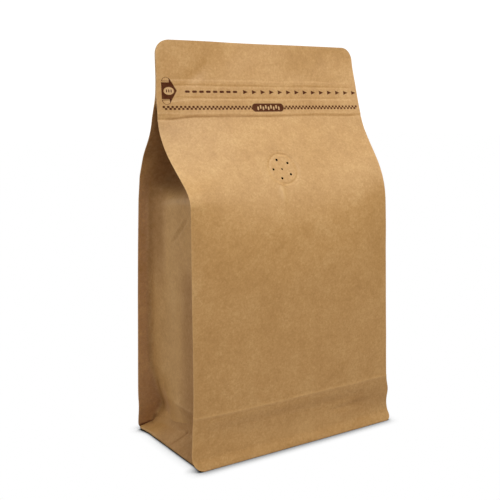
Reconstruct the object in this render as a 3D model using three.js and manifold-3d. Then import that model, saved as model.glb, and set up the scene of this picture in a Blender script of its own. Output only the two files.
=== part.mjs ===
// Coffee bag in kraft paper: a shut, filled pouch with a flat base, sealed fins along its four
// upright edges, gussets that fold in above the shoulder, and a degassing valve in its front.
// Millimetres, +Z up, front towards -Y, origin at the centre of the base on the floor.
import * as THREE from 'three';
import { mergeVertices } from 'three/addons/utils/BufferGeometryUtils.js';
import Module from 'manifold-3d';

// Overall sizes
const HEIGHT = 236.4;
const DEPTH = 71;
const BODY_HALF_WIDTH = 69.8;
const FOOT_HALF_WIDTH = 73.2;
const FOOT_RISE = 38;

// Panels and their seals
const FIN_WIDTH = 7.5;
const FIN_THICKNESS = 0.6;
const TOP_CORNER_RADIUS = 8;
const FOOT_CORNER_RADIUS = { left: 11, right: 6 };

// Profiles of the front panel at its left edge, middle and right edge, from the floor up.
// A station is [height, depth, softness of the bend there].
const FRONT_Y = -DEPTH / 2;
const FRONT_LEFT = [
  [0, FRONT_Y], [14, -33.6, 9],
  [152.8, -33, 6], [181.8, 2.3, 13], [HEIGHT, 4.6],
];
const FRONT_MIDDLE = [
  [0, FRONT_Y], [12, -34.6, 7], [30, -36.2, 4],
  [140, -34.2, 14], [194.5, -2.6, 6], [222, 3.4, 10], [HEIGHT, 4.7],
];
const FRONT_RIGHT = [
  [0, FRONT_Y], [12, -34.8, 7], [30, -35.8, 5],
  [155.5, -30.4, 7], [184.5, -10, 8], [228, 4.4, 7], [HEIGHT, 4.8],
];

// Distance from the front panel to the back panel along their side edges
const TOP_GAP = 1.4;
const SIDE_GAP = [
  [0, DEPTH], [14, 68.2, 9], [100, 65.6, 30],
  [154.3, 62.4, 6], [185.3, 10.6, 7], [206, TOP_GAP, 4], [HEIGHT, TOP_GAP],
];

// How far the back panel swells past its side edges, in the middle
const BACK_SWELL = [[0, 0], [70, 2.5, 30], [150, 3, 30], [200, 0, 8], [HEIGHT, 0]];

// The gusset's middle, measured from the bag's centre plane, and its fold above the shoulder
const GUSSET_WALL = [[0, 67], [8, 57, 2.5], [29, 60.8, 3], [48, 59.2, 8], [HEIGHT, 58.4]];
const FOOT_RECESS_RISE = 8;
const FOOT_SKEW = 1.2;
const GUSSET_HALF = 31.2;
const FOLD_OPEN_GAP = 5;
const FOLD_SHUT_GAP = 1.8;
const SOFT_FOLD = 2.2;
const SHARP_FOLD = 1;
const SHUT_ROOT_SHARE = 0.08;
const OPEN_ROOT_SHARE = 0.004;

// Relief at the top of the front: zipper, tear strip and the bead above it, each a low raised band
const BANDS = [
  { low: 195.6, high: 203.4, rise: 0.5 },
  { low: 205.8, high: 210.4, rise: 0.35 },
  { low: 212.4, high: 213.8, rise: 0.45 },
];
const BAND_RAMP = 1;
const BAND_END = 4;

// Degassing valve: a disc in the upper front, turned to the slope of the panel there
const VALVE = { x: -1.4, z: 164.5, radius: 10.2, sunk: 0.9, plate: 0.35 };
const VALVE_RIM = { rise: 0.65, width: 1.2, chamfer: 0.4, foot: 0.5 };
const PINHOLE = { radius: 0.6, circle: 6.2, count: 5, depth: 1.6 };
const CLEARANCE = 0.3;

// Mesh steps
const FRONT_STEPS = 20;
const BACK_STEPS = 16;
const GUSSET_STEPS = 10;
const CORNER_STEPS = 6;
const ROUND_STEPS = 48;
const HOLE_STEPS = 10;
const HEIGHT_RUNS = [
  { top: 30, steps: 7 },
  { top: 34, steps: 2 },
  { top: 118, steps: 7 },
  { top: 148, steps: 6 },
  { top: 192, steps: 14 },
  { top: 215, steps: 16 },
  { top: HEIGHT - TOP_CORNER_RADIUS, steps: 3 },
];

// Zero below a bend, a straight rise above it, and a parabola across the soft part between
function hinge(distance, softness) {
  if (distance <= -softness) return 0;
  if (distance >= softness) return distance;
  return (distance + softness) ** 2 / (4 * softness);
}

// Value at height z of the line through the stations, with its bends rounded
function profile(stations, z) {
  const rise = (i) => stations[i + 1][1] - stations[i][1];
  const slopeAfter = (i) => rise(i) / (stations[i + 1][0] - stations[i][0]);
  let slope = slopeAfter(0);
  let value = stations[0][1] + slope * (z - stations[0][0]);
  for (let i = 1; i < stations.length - 1; i++) {
    const bend = slopeAfter(i) - slope;
    value += bend * hinge(z - stations[i][0], stations[i][2]);
    slope += bend;
  }
  return value;
}

function smoothstep(low, high, value) {
  return THREE.MathUtils.smoothstep(value, low, high);
}

// Half the width of the panels before their corners are rounded
function halfWidth(z) {
  const spread = Math.max(0, 1 - z / FOOT_RISE) ** 2;
  return BODY_HALF_WIDTH + (FOOT_HALF_WIDTH - BODY_HALF_WIDTH) * spread;
}

// How far a rounded corner cuts the panel back at a distance from its end
function cornerCut(radius, distance) {
  const inside = Math.max(0, radius - distance);
  return radius - Math.sqrt(radius ** 2 - inside ** 2);
}

// Distance of the fins' edge from the centre plane; side is 1 on the right and -1 on the left
function finTip(z, side) {
  const footRadius = side > 0 ? FOOT_CORNER_RADIUS.right : FOOT_CORNER_RADIUS.left;
  return halfWidth(z) - cornerCut(footRadius, z) - cornerCut(TOP_CORNER_RADIUS, HEIGHT - z);
}

// Raised bands across the top of the front, fading out towards the fins
function bandRelief(x, z) {
  const inner = BODY_HALF_WIDTH - BAND_END;
  const across = 1 - smoothstep(inner - BAND_END, inner, Math.abs(x));
  let rise = 0;
  for (const band of BANDS) {
    const up = smoothstep(band.low - BAND_RAMP, band.low, z);
    const down = smoothstep(band.high, band.high + BAND_RAMP, z);
    rise += band.rise * (up - down);
  }
  return rise * across;
}

// Parabola across the panel through its left edge, middle and right edge
function acrossPanel(x, z, left, middle, right) {
  const side = x / halfWidth(z);
  const bow = middle - (left + right) / 2;
  return (left + right) / 2 + (side * (right - left)) / 2 + bow * (1 - side ** 2);
}

function frontY(x, z) {
  const [left, middle, right] = [FRONT_LEFT, FRONT_MIDDLE, FRONT_RIGHT].map((line) => profile(line, z));
  return acrossPanel(x, z, left, middle, right) - bandRelief(x, z);
}

function backY(x, z) {
  const gap = profile(SIDE_GAP, z);
  const left = profile(FRONT_LEFT, z) + gap;
  const right = profile(FRONT_RIGHT, z) + gap;
  return acrossPanel(x, z, left, (left + right) / 2 + profile(BACK_SWELL, z), right);
}

// How far the gusset's middle fold goes in as the panels close on each other
function foldDepth(z) {
  const half = Math.min(profile(SIDE_GAP, z) / 2, GUSSET_HALF);
  return Math.sqrt(GUSSET_HALF ** 2 - half ** 2);
}

// One side of the section at height z, from the front fin's edge to the back fin's edge
function sidePoints(z, side) {
  const { lerp } = THREE.MathUtils;
  const tip = finTip(z, side);
  const fold = foldDepth(z);
  const wall = profile(GUSSET_WALL, z);
  const open = smoothstep(FOLD_SHUT_GAP, FOLD_OPEN_GAP, profile(SIDE_GAP, z));
  const foot = 1 - smoothstep(0, FOOT_RECESS_RISE, z);
  const seam = lerp(BODY_HALF_WIDTH - FIN_WIDTH, profile(GUSSET_WALL, 0), foot);
  const root = lerp(tip, seam, open);
  const recess = open * (seam - wall + fold);
  const sharpness = lerp(SOFT_FOLD, SHARP_FOLD, smoothstep(0, GUSSET_HALF / 2, fold));
  const rootShare = lerp(SHUT_ROOT_SHARE, OPEN_ROOT_SHARE, open);
  const points = [];
  const add = (x, share) => {
    const front = frontY(side * x, z) + FIN_THICKNESS;
    const back = backY(side * x, z) - FIN_THICKNESS;
    points.push(new THREE.Vector2(side * x, lerp(front, back, share)));
  };
  add(tip, 0);
  for (let i = 0; i <= GUSSET_STEPS; i++) {
    const along = (2 * i) / GUSSET_STEPS - 1;
    const share = lerp(rootShare, 1 - rootShare, i / GUSSET_STEPS);
    add(root - recess * (1 - Math.abs(along) ** sharpness) + foot * FOOT_SKEW * along, share);
  }
  add(tip, 1);
  return points;
}

// Closed section of the bag at height z, counterclockwise seen from above
function section(z) {
  const left = -finTip(z, -1);
  const right = finTip(z, 1);
  const points = [];
  for (let i = 0; i <= FRONT_STEPS; i++) {
    const x = THREE.MathUtils.lerp(left, right, i / FRONT_STEPS);
    points.push(new THREE.Vector2(x, frontY(x, z)));
  }
  points.push(...sidePoints(z, 1));
  for (let i = 0; i <= BACK_STEPS; i++) {
    const x = THREE.MathUtils.lerp(right, left, i / BACK_STEPS);
    points.push(new THREE.Vector2(x, backY(x, z)));
  }
  points.push(...sidePoints(z, -1).reverse());
  return points;
}

// Heights of the sections: equal angles round the corners, equal steps along each run between
function sectionHeights() {
  const heights = [];
  for (let i = 0; i <= CORNER_STEPS; i++) {
    const angle = ((i / CORNER_STEPS) * Math.PI) / 2;
    heights.push(FOOT_CORNER_RADIUS.left * (1 - Math.cos(angle)));
  }
  for (const run of HEIGHT_RUNS) {
    const start = heights[heights.length - 1];
    for (let i = 1; i <= run.steps; i++) {
      heights.push(THREE.MathUtils.lerp(start, run.top, i / run.steps));
    }
  }
  for (let i = 1; i <= CORNER_STEPS; i++) {
    const angle = ((i / CORNER_STEPS) * Math.PI) / 2;
    heights.push(HEIGHT - TOP_CORNER_RADIUS * (1 - Math.sin(angle)));
  }
  return heights;
}

// Solid through the sections, closed by a flat base and a flat top edge
function bagGeometry() {
  const heights = sectionHeights();
  const rings = heights.map(section);
  const count = rings[0].length;
  const positions = rings.flatMap((ring, k) => ring.flatMap((p) => [p.x, p.y, heights[k]]));
  const index = [];
  for (let k = 0; k < rings.length - 1; k++) {
    for (let i = 0; i < count; i++) {
      const a = k * count + i;
      const b = k * count + ((i + 1) % count);
      index.push(a, b, b + count, a, b + count, a + count);
    }
  }
  const last = (rings.length - 1) * count;
  for (const [a, b, c] of THREE.ShapeUtils.triangulateShape(rings[0], [])) {
    index.push(a, c, b);
  }
  for (const [a, b, c] of THREE.ShapeUtils.triangulateShape(rings[rings.length - 1], [])) {
    index.push(last + a, last + b, last + c);
  }
  const geometry = new THREE.BufferGeometry();
  geometry.setAttribute('position', new THREE.Float32BufferAttribute(positions, 3));
  geometry.setIndex(index);
  return geometry;
}

const wasm = await Module();
wasm.setup();

function toSolid(geometry, matrix = new THREE.Matrix4()) {
  const bare = geometry.clone().applyMatrix4(matrix);
  bare.deleteAttribute('normal');
  bare.deleteAttribute('uv');
  const merged = mergeVertices(bare);
  const corners = merged.index.array;
  const triangles = [];
  for (let i = 0; i < corners.length; i += 3) {
    const [a, b, c] = corners.slice(i, i + 3);
    if (a !== b && b !== c && c !== a) triangles.push(a, b, c);
  }
  const mesh = new wasm.Mesh({
    numProp: 3,
    vertProperties: new Float32Array(merged.attributes.position.array),
    triVerts: new Uint32Array(triangles),
  });
  return new wasm.Manifold(mesh);
}

function toGeometry(solid) {
  const mesh = solid.getMesh();
  const geometry = new THREE.BufferGeometry();
  geometry.setAttribute('position', new THREE.Float32BufferAttribute(mesh.vertProperties, 3));
  geometry.setIndex(Array.from(mesh.triVerts));
  geometry.computeVertexNormals();
  return geometry;
}

// Frame of the valve on the front panel: X across the panel, Y out of it, Z down its slope,
// which is taken over the ring of pinholes
function valveFrame() {
  const { x, z } = VALVE;
  const reach = PINHOLE.circle;
  const across = new THREE.Vector3(2 * reach, frontY(x + reach, z) - frontY(x - reach, z), 0);
  const down = new THREE.Vector3(0, frontY(x, z - reach) - frontY(x, z + reach), -2 * reach);
  const out = new THREE.Vector3().crossVectors(down, across).normalize();
  across.normalize();
  down.crossVectors(across, out);
  return new THREE.Matrix4().makeBasis(across, out, down).setPosition(x, frontY(x, z), z);
}

// Disc with a raised rim, turned about Y
function valveDisc() {
  const { radius, sunk, plate } = VALVE;
  const { rise, width, chamfer, foot } = VALVE_RIM;
  const outline = [
    [0, -sunk], [radius, -sunk], [radius, plate], [radius - chamfer, rise],
    [radius - width, rise], [radius - width - foot, plate], [0, plate],
  ];
  return new THREE.LatheGeometry(outline.map(([r, h]) => new THREE.Vector2(r, h)), ROUND_STEPS);
}

// The disc with its pinholes, each half sunk in the plate and half standing clear of it
function valveGeometry() {
  let solid = toSolid(valveDisc());
  const { radius, circle, count, depth } = PINHOLE;
  const places = [[0, 0]];
  for (let i = 0; i < count; i++) {
    const angle = Math.PI + (i * 2 * Math.PI) / count;
    places.push([circle * Math.cos(angle), circle * Math.sin(angle)]);
  }
  for (const [x, z] of places) {
    const hole = new THREE.CylinderGeometry(radius, radius, depth, HOLE_STEPS);
    hole.translate(x, VALVE.plate, z);
    solid = solid.subtract(toSolid(hole));
  }
  return toGeometry(solid);
}

// Round seat that the valve stands in
function seatGeometry() {
  const radius = VALVE.radius + CLEARANCE;
  const bottom = -VALVE.sunk - CLEARANCE;
  const top = VALVE.radius;
  const seat = new THREE.CylinderGeometry(radius, radius, top - bottom, ROUND_STEPS);
  return seat.translate(0, (top + bottom) / 2, 0);
}

const kraft = new THREE.MeshStandardMaterial({ color: 0xb9915f, roughness: 0.75, metalness: 0 });
const valveKraft = new THREE.MeshStandardMaterial({ color: 0xc29a66, roughness: 0.7, metalness: 0 });

const frame = valveFrame();
const seated = toSolid(bagGeometry()).subtract(toSolid(seatGeometry(), frame));
const bag = new THREE.Mesh(toGeometry(seated), kraft);
bag.name = 'bag';

const valve = new THREE.Mesh(valveGeometry(), valveKraft);
valve.name = 'valve';
valve.position.setFromMatrixPosition(frame);
valve.quaternion.setFromRotationMatrix(frame);

const coffeeBag = new THREE.Group();
coffeeBag.add(bag, valve);

export default coffeeBag;
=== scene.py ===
"""Coffee bag in kraft paper, built as thin sheets that meet in sealed fins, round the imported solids.

Shapes are worked out in millimetres in the standard bag's size, then scaled to the sizes that the
panel in the sidebar shows. +Z is up, the printed front faces -Y, the floor is at z = 0.
"""

import math

import bmesh
import bpy
import numpy as np
from bpy.props import FloatProperty, FloatVectorProperty, IntProperty, PointerProperty
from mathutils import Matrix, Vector
from mathutils.geometry import delaunay_2d_cdt


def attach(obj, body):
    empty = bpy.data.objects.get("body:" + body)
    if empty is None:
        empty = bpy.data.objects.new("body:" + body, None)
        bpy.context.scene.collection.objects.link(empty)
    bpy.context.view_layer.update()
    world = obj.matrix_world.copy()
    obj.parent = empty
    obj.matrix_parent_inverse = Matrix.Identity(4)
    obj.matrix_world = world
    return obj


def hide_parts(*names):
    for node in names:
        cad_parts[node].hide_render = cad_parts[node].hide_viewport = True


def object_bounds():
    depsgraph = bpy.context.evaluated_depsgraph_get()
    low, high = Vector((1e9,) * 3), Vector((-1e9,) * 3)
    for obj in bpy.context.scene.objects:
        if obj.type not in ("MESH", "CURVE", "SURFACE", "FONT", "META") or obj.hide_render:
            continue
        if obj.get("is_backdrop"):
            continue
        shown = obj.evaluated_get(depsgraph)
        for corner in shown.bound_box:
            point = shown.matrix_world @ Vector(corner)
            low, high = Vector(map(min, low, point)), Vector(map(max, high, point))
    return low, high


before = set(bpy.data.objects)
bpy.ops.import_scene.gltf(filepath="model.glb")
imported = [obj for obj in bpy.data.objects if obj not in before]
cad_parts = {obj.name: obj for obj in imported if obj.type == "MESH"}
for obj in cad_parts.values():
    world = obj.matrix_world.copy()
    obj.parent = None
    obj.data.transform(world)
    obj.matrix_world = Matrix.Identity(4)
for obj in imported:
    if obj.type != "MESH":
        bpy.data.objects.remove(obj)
CAD_LOW, CAD_HIGH = (Vector(corner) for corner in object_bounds())

bl_info = {
    "name": "Kraft Coffee Bag",
    "version": (1, 0, 0),
    "blender": (4, 5, 0),
    "location": "View3D > Sidebar > Coffee Bag",
    "description": "Builds a shut kraft paper coffee bag with folded gussets, zipper band and valve",
    "category": "Add Mesh",
}

MM = 0.001
STANDARD = (143.79, 71.82, 236.4)  # width, depth and height of the standard bag

# Outline of the front and back panels
HEIGHT = 236.4
DEPTH = 71.0
BODY_HALF_WIDTH = 69.8
FOOT_HALF_WIDTH = 73.2
FOOT_RISE = 38.0  # height at which the panels reach the body's width
FOOT_CURL = {"out": 1.2, "up": 7.0}  # how far the foot of the front curls out, and up to where
FOOT_GAP = 0.06  # how far the rims of the panels stand off the floor
SEAL_GAP = 0.02  # how far each sheet keeps from the middle of a seal

# Edges of the fins: height, distance from the centre plane, softness of the bend there
FIN_EDGE = {
    ("front", -1): (
        (0, 73.2), (13, 71.2, 10), (38, 69.8, 12),
        (196, 69.8, 6), (208, 70.1, 3), (214, 69.7, 3), (HEIGHT, 69.6)),
    ("front", 1): (
        (0, 75.0), (8, 73.2, 3), (14, 72.4, 3), (20.5, 72.8, 2), (29, 70.2, 4), (110, 70.0, 30),
        (154, 70.0, 8), (178, 70.2, 6), (190, 69.1, 5), (206, 69.1, 5), (HEIGHT, 70.2)),
    ("back", -1): (
        (0, 68.7), (10, 69.9, 5), (22, 71.0, 6), (110, 70.2, 20),
        (172, 69.6, 10), (190, 70.0, 6), (208, 70.1, 3), (214, 69.7, 3), (HEIGHT, 69.6)),
    ("back", 1): (
        (0, 68.7), (10, 69.9, 5), (22, 71.0, 6), (110, 70.2, 20),
        (178, 69.8, 8), (190, 69.1, 5), (206, 69.1, 5), (HEIGHT, 70.2)),
}

# Front panel at its left edge, middle and right edge: height, depth, softness of the bend there
FRONT_Y = -DEPTH / 2
FRONT_LEFT = (
    (0, FRONT_Y), (14, -33.6, 9),
    (152.8, -33, 6), (181.8, 2.3, 13), (HEIGHT, 4.6),
)
FRONT_MIDDLE = (
    (0, FRONT_Y), (17, -34.3, 6), (27, -36.1, 5),
    (116, -35.4, 18), (146, -30.7, 16), (194.5, -2.6, 6), (222, 3.4, 10), (HEIGHT, 4.7),
)
FRONT_RIGHT = (
    (0, FRONT_Y), (9, -33.5, 5), (27, -36.0, 6),
    (155.5, -30.4, 13), (184.5, -10, 8), (228, 4.4, 7), (HEIGHT, 4.8),
)
EDGE_CURL = 3.2  # how close to its side edges a panel bends away from its middle
EDGE_REACH = 1.05  # how far out that bend goes on, in half widths

# Lean of both panels above the tear strip: place across, slope, softness
TOP_SWAY = (
    (-72, 0), (-54, -0.05, 8), (-37, -0.05, 6), (-16, 0.11, 8), (8, 0.1, 10), (26, 0.01, 8), (72, 0.03),
)
TOP_SWAY_FROM = 214.0  # height where the lean starts
TOP_SWAY_SOFT = 4.0

# Distance between the panels along their side edges, and how far the back swells in its middle
SIDE_GAP = (
    (0, DEPTH), (14, 68.2, 9), (100, 65.6, 30),
    (153.7, 62.3, 8), (185, 10.6, 7), (206, 1.4, 4), (HEIGHT, 1.4),
)
BACK_SWELL = ((0, 0), (70, 2.5, 30), (150, 3, 30), (200, 0, 8), (HEIGHT, 0))
BACK_FLARE = {"out": 4.0, "up": 20.0, "from": 28.0, "to": 64.0}  # the corners of the back's foot
BACK_CALM = (185.0, 200.0)  # heights between which the back's soft waves die out

# Gusset: its middle from the centre plane, its seams, its fold above the shoulder
GUSSET_WALL = ((0, 56.4), (9, 57, 2.5), (26, 60.8, 1.6), (48, 59.2, 8), (HEIGHT, 58.4))
GUSSET_SEAM = ((0, 60.5), (10, 57.6, 2), (15.5, 53.4, 3), (44, 62.3, 3), (HEIGHT, 62.3))
GUSSET_HALF = 31.2  # half of its paper's width between the seams
GUSSET_TOP = 205.6  # its upper edge, inside the seal
GUSSET_LIFT = 0.02  # keeps its cut edges apart from those of the panels
FOLD_OPEN_GAP = 5.0  # distance between the panels where the gusset is open
FOLD_SHUT_GAP = 1.8  # and where it is folded shut
FOLD_ONSET = {"front": 1.0, "middle": 3.2, "back": -4.5}  # how far the fold starts above the shoulder
FOLD_ROLL = 7.0  # half of the height over which its start rolls over
FOLD_STEPS = 9  # samples that roll the start of the fold over
FOLD_END_SHARE = 0.05  # weight of the outermost ones
WALL_BOW = 1.7  # curve of the wall from front to back; higher is flatter in its middle
FOLD_BOW = 2.2  # the same in the fold
SEAM_SOFT = (84.0, 134.0)  # heights between which the seams turn from crisp to soft
SEAM_PASSES = (5, 24)  # passes that round the seams below and above that
FLANGE_INSET = 0.05  # how far the flanges stay inside the fins' edges
ROOT_INSET = 0.5  # how far inside the flange's edge the shut wall starts
WALL_MARGIN = (0.08, 0.004)  # what the shut and the open wall leave free at its front and back
PANELS_MEET = (198.0, 207.0)  # heights between which the panels come together

# Columns across the gusset's wall and each of its flanges
WALL_COLUMNS = 70
FLANGE_COLUMNS = 8

# Slanting dent of the gusset, with the low ridge beside it
GUSSET_DENT = {
    "y": -0.5, "z": 130.0, "slant": (10.6, 11.7), "fade": (8, 15), "depth": 0.8, "half": 0.9,
    "ridge": 0.5, "ridge_at": 2.0, "ridge_half": 1.3,
}
GUSSET_SLACK = 2.0  # its soft waves, in those of the panels
GUSSET_STRETCH = 0.35  # share of the height that they count, so that they are longer upwards

# Low raised bands across the top of the front: low edge, high edge, rise
BANDS = ((195.0, 203.4, 0.24), (205.8, 210.4, 0.13), (212.7, 214.0, 0.17))
BAND_RAMP = 1.2  # width of their sloping edges
BAND_END = 4.0  # how far inside the panel's edges they end, and over what width they fade
BAND_WAVER = 0.3  # how far their edges wander
BAND_UNEVEN = 0.35  # how much their rise changes along them
BAND_CALM = (0.75, ("z", "from", 190, 196), ("z", "until", 214, 218))  # keeps the soft waves out of them
ZIP_DIP = {"down": 1.4, "from": -48.0, "to": -66.0}  # the lowest band sinks at its left end

# Soft creases of the front: height, half width, rise, waver
FRONT_CREASES = ((30.3, 0.9, 0.17, 0.3), (194.3, 0.8, -0.18, 0.35), (196.0, 0.6, 0.08, 0.3))
FOOT_CREASE, ZIP_CREASE = 0, 1  # which of them is the one above the foot, and the one under the zipper
CREASE_UNEVEN = 0.5  # how much their rise changes along them

# Shallow dents of the front: x, z, half width, half height, depth, turn in degrees
FRONT_DENTS = (
    (-46, 217.5, 9, 3.6, 0.75, 37), (-12, 221, 12, 6, -0.3, 20), (24, 219, 10, 5, 0.35, -20),
    (50, 223, 9, 6, -0.3, 15), (-5.8, 151.5, 1.9, 5, -0.6, 0), (-30, 176, 14, 9, -0.3, 30),
    (38, 172, 12, 8, 0.25, -30), (60, 112, 6, 16, 0.5, 0), (30, 21, 20, 3.5, 0.5, 4),
    (38, 16, 13, 1.8, 0.5, 2), (45, 14, 8, 0.9, 0.16, 3), (49, 10.8, 4, 0.7, 0.14, 8),
    (40, 25, 9, 1.0, 0.15, -14), (-40, 18, 14, 4, 0.3, -6), (66, 150, 5, 9, 0.4, 0),
    (-20, 22.5, 45, 3, 0.3, 0),
)

# Soft waves of the paper: seed, number of waves, longest and shortest wave
WAVES = {
    "front": (7, 9, 52, 14), "back": (23, 9, 60, 18), "gusset": (31, 8, 30, 9),
    "skirt": (51, 6, 22, 8), "base": (61, 6, 40, 14),
    "band_edge": (41, 5, 60, 16), "band_rise": (47, 5, 50, 12),
    "crease_line": (71, 6, 70, 14), "crease_rise": (81, 6, 40, 8),
}

# Skirt at the foot of each gusset, from its front end to its back end
SKIRT_EDGE = 67.5  # its edge from the centre plane
SKIRT_LIFT = 1.5  # height of that edge above the floor
SKIRT_RIM = {"high": 1.15, "in": 0.8}  # the upright rim under its edge
SKIRT_TIP = {"out": 1.6, "up": 0.6, "from": 0.84}  # spread of its back end, and where that starts
SKIRT_BEND = (9.5, 3.9)  # height where it meets the wall
SKIRT_INSIDE = (57.0, 59.2)  # distance of that bend from the centre plane
SKIRT_BACK = (0.5, 1.0)  # the stretch along it where the front's values turn into the back's
SKIRT_TUCK = 8.0  # how far it goes on up behind the wall
SKIRT_PAPER = 0.25
SKIRT_CLEAR = 0.05  # what it leaves free to the fins' sheets
SKIRT_SLIT = {"start": 59.3, "end": 71.0, "width": 0.8}  # opens outwards before the back fin
SKIRT_SWELL = (0.35, 0.2, 0.5)  # how far its middle swells, between which shares of its height
SKIRT_SINK = (0.75, 0.6, 1.0)  # the same for its upper end, which goes in behind the wall
# Slanting crease of the skirts; its shade is painted shade along the crease
SKIRT_CREASE = {
    "floor": 3.35, "steep": 1.35, "depth": 0.5, "half": 0.6, "ridge": 0.35, "ridge_at": 1.5,
    "ridge_half": 0.9, "low": (1.5, 3), "high": (9, 12), "shade": 0.3,
}
SKIRT_WAVER = (0.12, 0.4, 0.7)  # height of its waves, and the shares of its height where they fade
SKIRT_WAVE_STEEP = 2.0  # how much shorter those waves are upwards
SKIRT_ROUNDING = 12  # passes that round the bend between skirt and wall
SKIRT_COLUMNS = 90
SKIRT_ROWS = {"rim": 4, "slope": 26, "wall": 20}

# Base between the walls, a shallow tray
BASE_HALF_WIDTH = 66.4
BASE_LOW = 0.05
BASE_RIM = {"rise": 1.1, "width": 3.0}
BASE_DOME = 0.8
BASE_DEPTH = 70.0  # depth over which its rim is measured
BASE_WAVER = 0.1
BASE_CLEAR = 1.2  # distance from the panels, in sheets of paper
BASE_EDGE = (0.05, 0.07)  # shares of the depth that take the close rows and where the others start
BASE_ROWS = {"edge": 8, "middle": 28}
BASE_COLUMNS = 80

# Rows and columns of the panels; rows: end of the run, step
ROW_RUNS = ((30, 0.9), (32, 0.4), (116, 1.7), (146, 1.0), (190, 0.7), (216, 0.33), (HEIGHT, 0.9))
CORNER_ROWS = 14
FOOT_ROWS = (1.0, 1.6)  # heights of the lowest rows, in foot gaps
FRONT_COLUMNS = (46, 48)  # columns beside the valve and round it
BACK_COLUMNS = (36, 20)
MIDDLE_FROM = 0.4  # share of the width where the close columns round the valve start
RIM_COLUMN = 0.0025
SHARP_ANGLE = math.radians(38)
EDGE_FADE = (0.1, 0.9)  # how far from a cut edge its rubbed paper goes

# Painted marks, painted highlights and painted shade: strength, then the limits that the function patch
# reads
FRONT_HIGHLIGHTS = (
    # Painted highlight on the ridge below the valve
    (1.7, ("x", "near", -5.8, 1.8), ("z", "from", 145, 149), ("z", "until", 154, 157)),
    # Painted highlight on the middle of the foot
    (0.5, ("x", "near", -3, 26), ("z", "near", 11, 6)),
)
# Half width of the rubbed paper with a painted highlight along the crease above the foot
FOOT_CREASE_WEAR_AND_HIGHLIGHT = 0.8
# Painted shade along the bottom rim and on the right of the foot
FRONT_SHADES = (
    (0.2, ("z", "until", 0.3, 1.1)),
    (0.12, ("x", "near", 50, 18), ("z", "near", 16, 7)),
)
ZIP_SHADE = {
    "strength": 0.19, "height": 194.6, "half": 0.9, "right": 0.35, "turn": (-25, 25), "ends": (62, 67),
}
GUSSET_CREASE = (0.45, ("y", "from", -30, -20), ("y", "until", 3, 9), ("z", "near", 26, 0.9))
# Painted highlights of the gussets: along the low crease, on the roll of the shoulder, down the middle of
# the wall
GUSSET_HIGHLIGHTS = (
    (0.8, ("y", "from", -24, -17), ("y", "until", 3, 9), ("z", "near", 26, 0.8)),
    (0.9, ("y", "near", 9, 9), ("z", "near", 145, 4)),
    (0.4, ("y", "near", 9, 8), ("z", "from", 30, 50), ("z", "until", 135, 145)),
)
# Painted cooler tint on the shaded inner face of the back fins
BACK_FIN_SHADE_TINT = (1.0, ("out", "from", 0.5, 2.5), ("y", "from", 16, 24), ("z", "until", 150, 170))
# Painted shade of the gussets
GUSSET_SHADES = (
    # Corner behind the skirt's slit
    (0.6, ("out", "near", 0.6, 0.7), ("z", "until", 8, 11), ("y", "from", 20, 28)),
    # Mouth of the fold, and its depth above
    (0.54, ("x", "until", 59, 70), ("z", "from", 147, 157)),
    (0.48, ("z", "from", 160, 176)),
    # Stretch beside the front seam
    (0.38, ("y", "until", -11, 5), ("z", "until", 95, 122)),
    # Upper wall before the back seam
    (0.36, ("y", "from", 13, 21), ("z", "from", 80, 125), ("z", "until", 150, 156),
     ("x", "until", 62.5, 64.5)),
    # Foot of the back fin
    (0.08, ("y", "from", 24, 28), ("z", "until", 15, 45)),
    # Back seam
    (0.2, ("out", "near", 0.8, 1.3), ("y", "from", 20, 28), ("z", "from", 34, 48),
     ("z", "until", 84, 104)),
)
# Slit between the skirt and the back fin: heights where its shade fades, and where it starts in y
SLIT_SHADE = {"start": (4.0, 4.9), "end": (2.4, 3.6), "behind": (20, 28)}
SKIRT_SHADES = ((0.3, ("y", "until", 10, 28)), (0.1, ("y", "until", -14, 0)))

# Valve in the front
LEAN_SPAN = 6.0  # how far above and below its middle the slope of the front is taken
VALVE_SEAT = {"depth": 1.9, "wall": (1.0, 0.3)}  # pocket whose wall lies just inside the plate's rim
PINHOLE_SIDES = 20
MIDDLE_PINHOLE = 0.7  # size of the one in the middle, in those round it
PINHOLE_CLEAR = 0.25
PLATE_SIDES = 96
PLATE_RINGS = {"first": 1.2, "step": 0.8, "outer": 20, "coarse": 1.5, "outer_from": 1.9, "end": 2.0}
PLATE_PAPER = 0.16
PLATE_LIFT = 0.05
PLATE_RIM_DROP = 0.04
GROOVE_HALF = 0.8
VALVE_BODY = {"margin": 1.0, "sides": 64, "step": 1.0, "dome": 0.2, "top": 1.3, "bottom": 1.8}

# Print of the tear strip and the zipper band, in x and z on the front
ARROW = {
    "tail": -67.1, "neck": -62.6, "wing": -62.5, "tip": (-58.1, 208.8),
    "bar": (204.2, 213.3), "wings": (201.8, 215.9),
}
TAB_OVAL = {"middle": (-62.85, 208.65), "hole": (3.05, 2.15), "pale": (2.8, 1.9), "ink": 0.7}
TAB = {"left": -66.95, "right": -61.65, "low": 201.2, "high": 216.2, "bare": 0.85}
TAB_ENDS = ((213.55, TAB["high"]), (TAB["low"], 203.95))
GRIPS = {"places": (-64.2, -62.85, -61.5), "half": 0.3, "low": 207.8, "high": 209.5}
DASHES = {"count": 8, "left": -53.2, "pitch": 4.4, "length": 3.0, "half": 0.62}
TRIANGLE = {"back": 1.2, "length": 3.2, "half": 1.2}
PILL = {"left": -10.4, "right": 12.3, "low": 197.05, "high": 201.77}
TEETH = {
    "count": 9, "left": -6.2, "pitch": 1.86, "half": 0.52, "low": 198.35, "high": 200.45,
    "stagger": 0.42,
}
CHECKER_UNDER_PILL = (0.8, -0.2)  # how far the checker's left and right runs reach under the pill
ROUND_END = 8  # points round a small round end
TOP_INK = 1.6  # ink on ink, in single coats
INK_SUNK = 0.04
FILL_CLEAR = 0.45  # how far inner points keep from a rim, in steps
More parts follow.
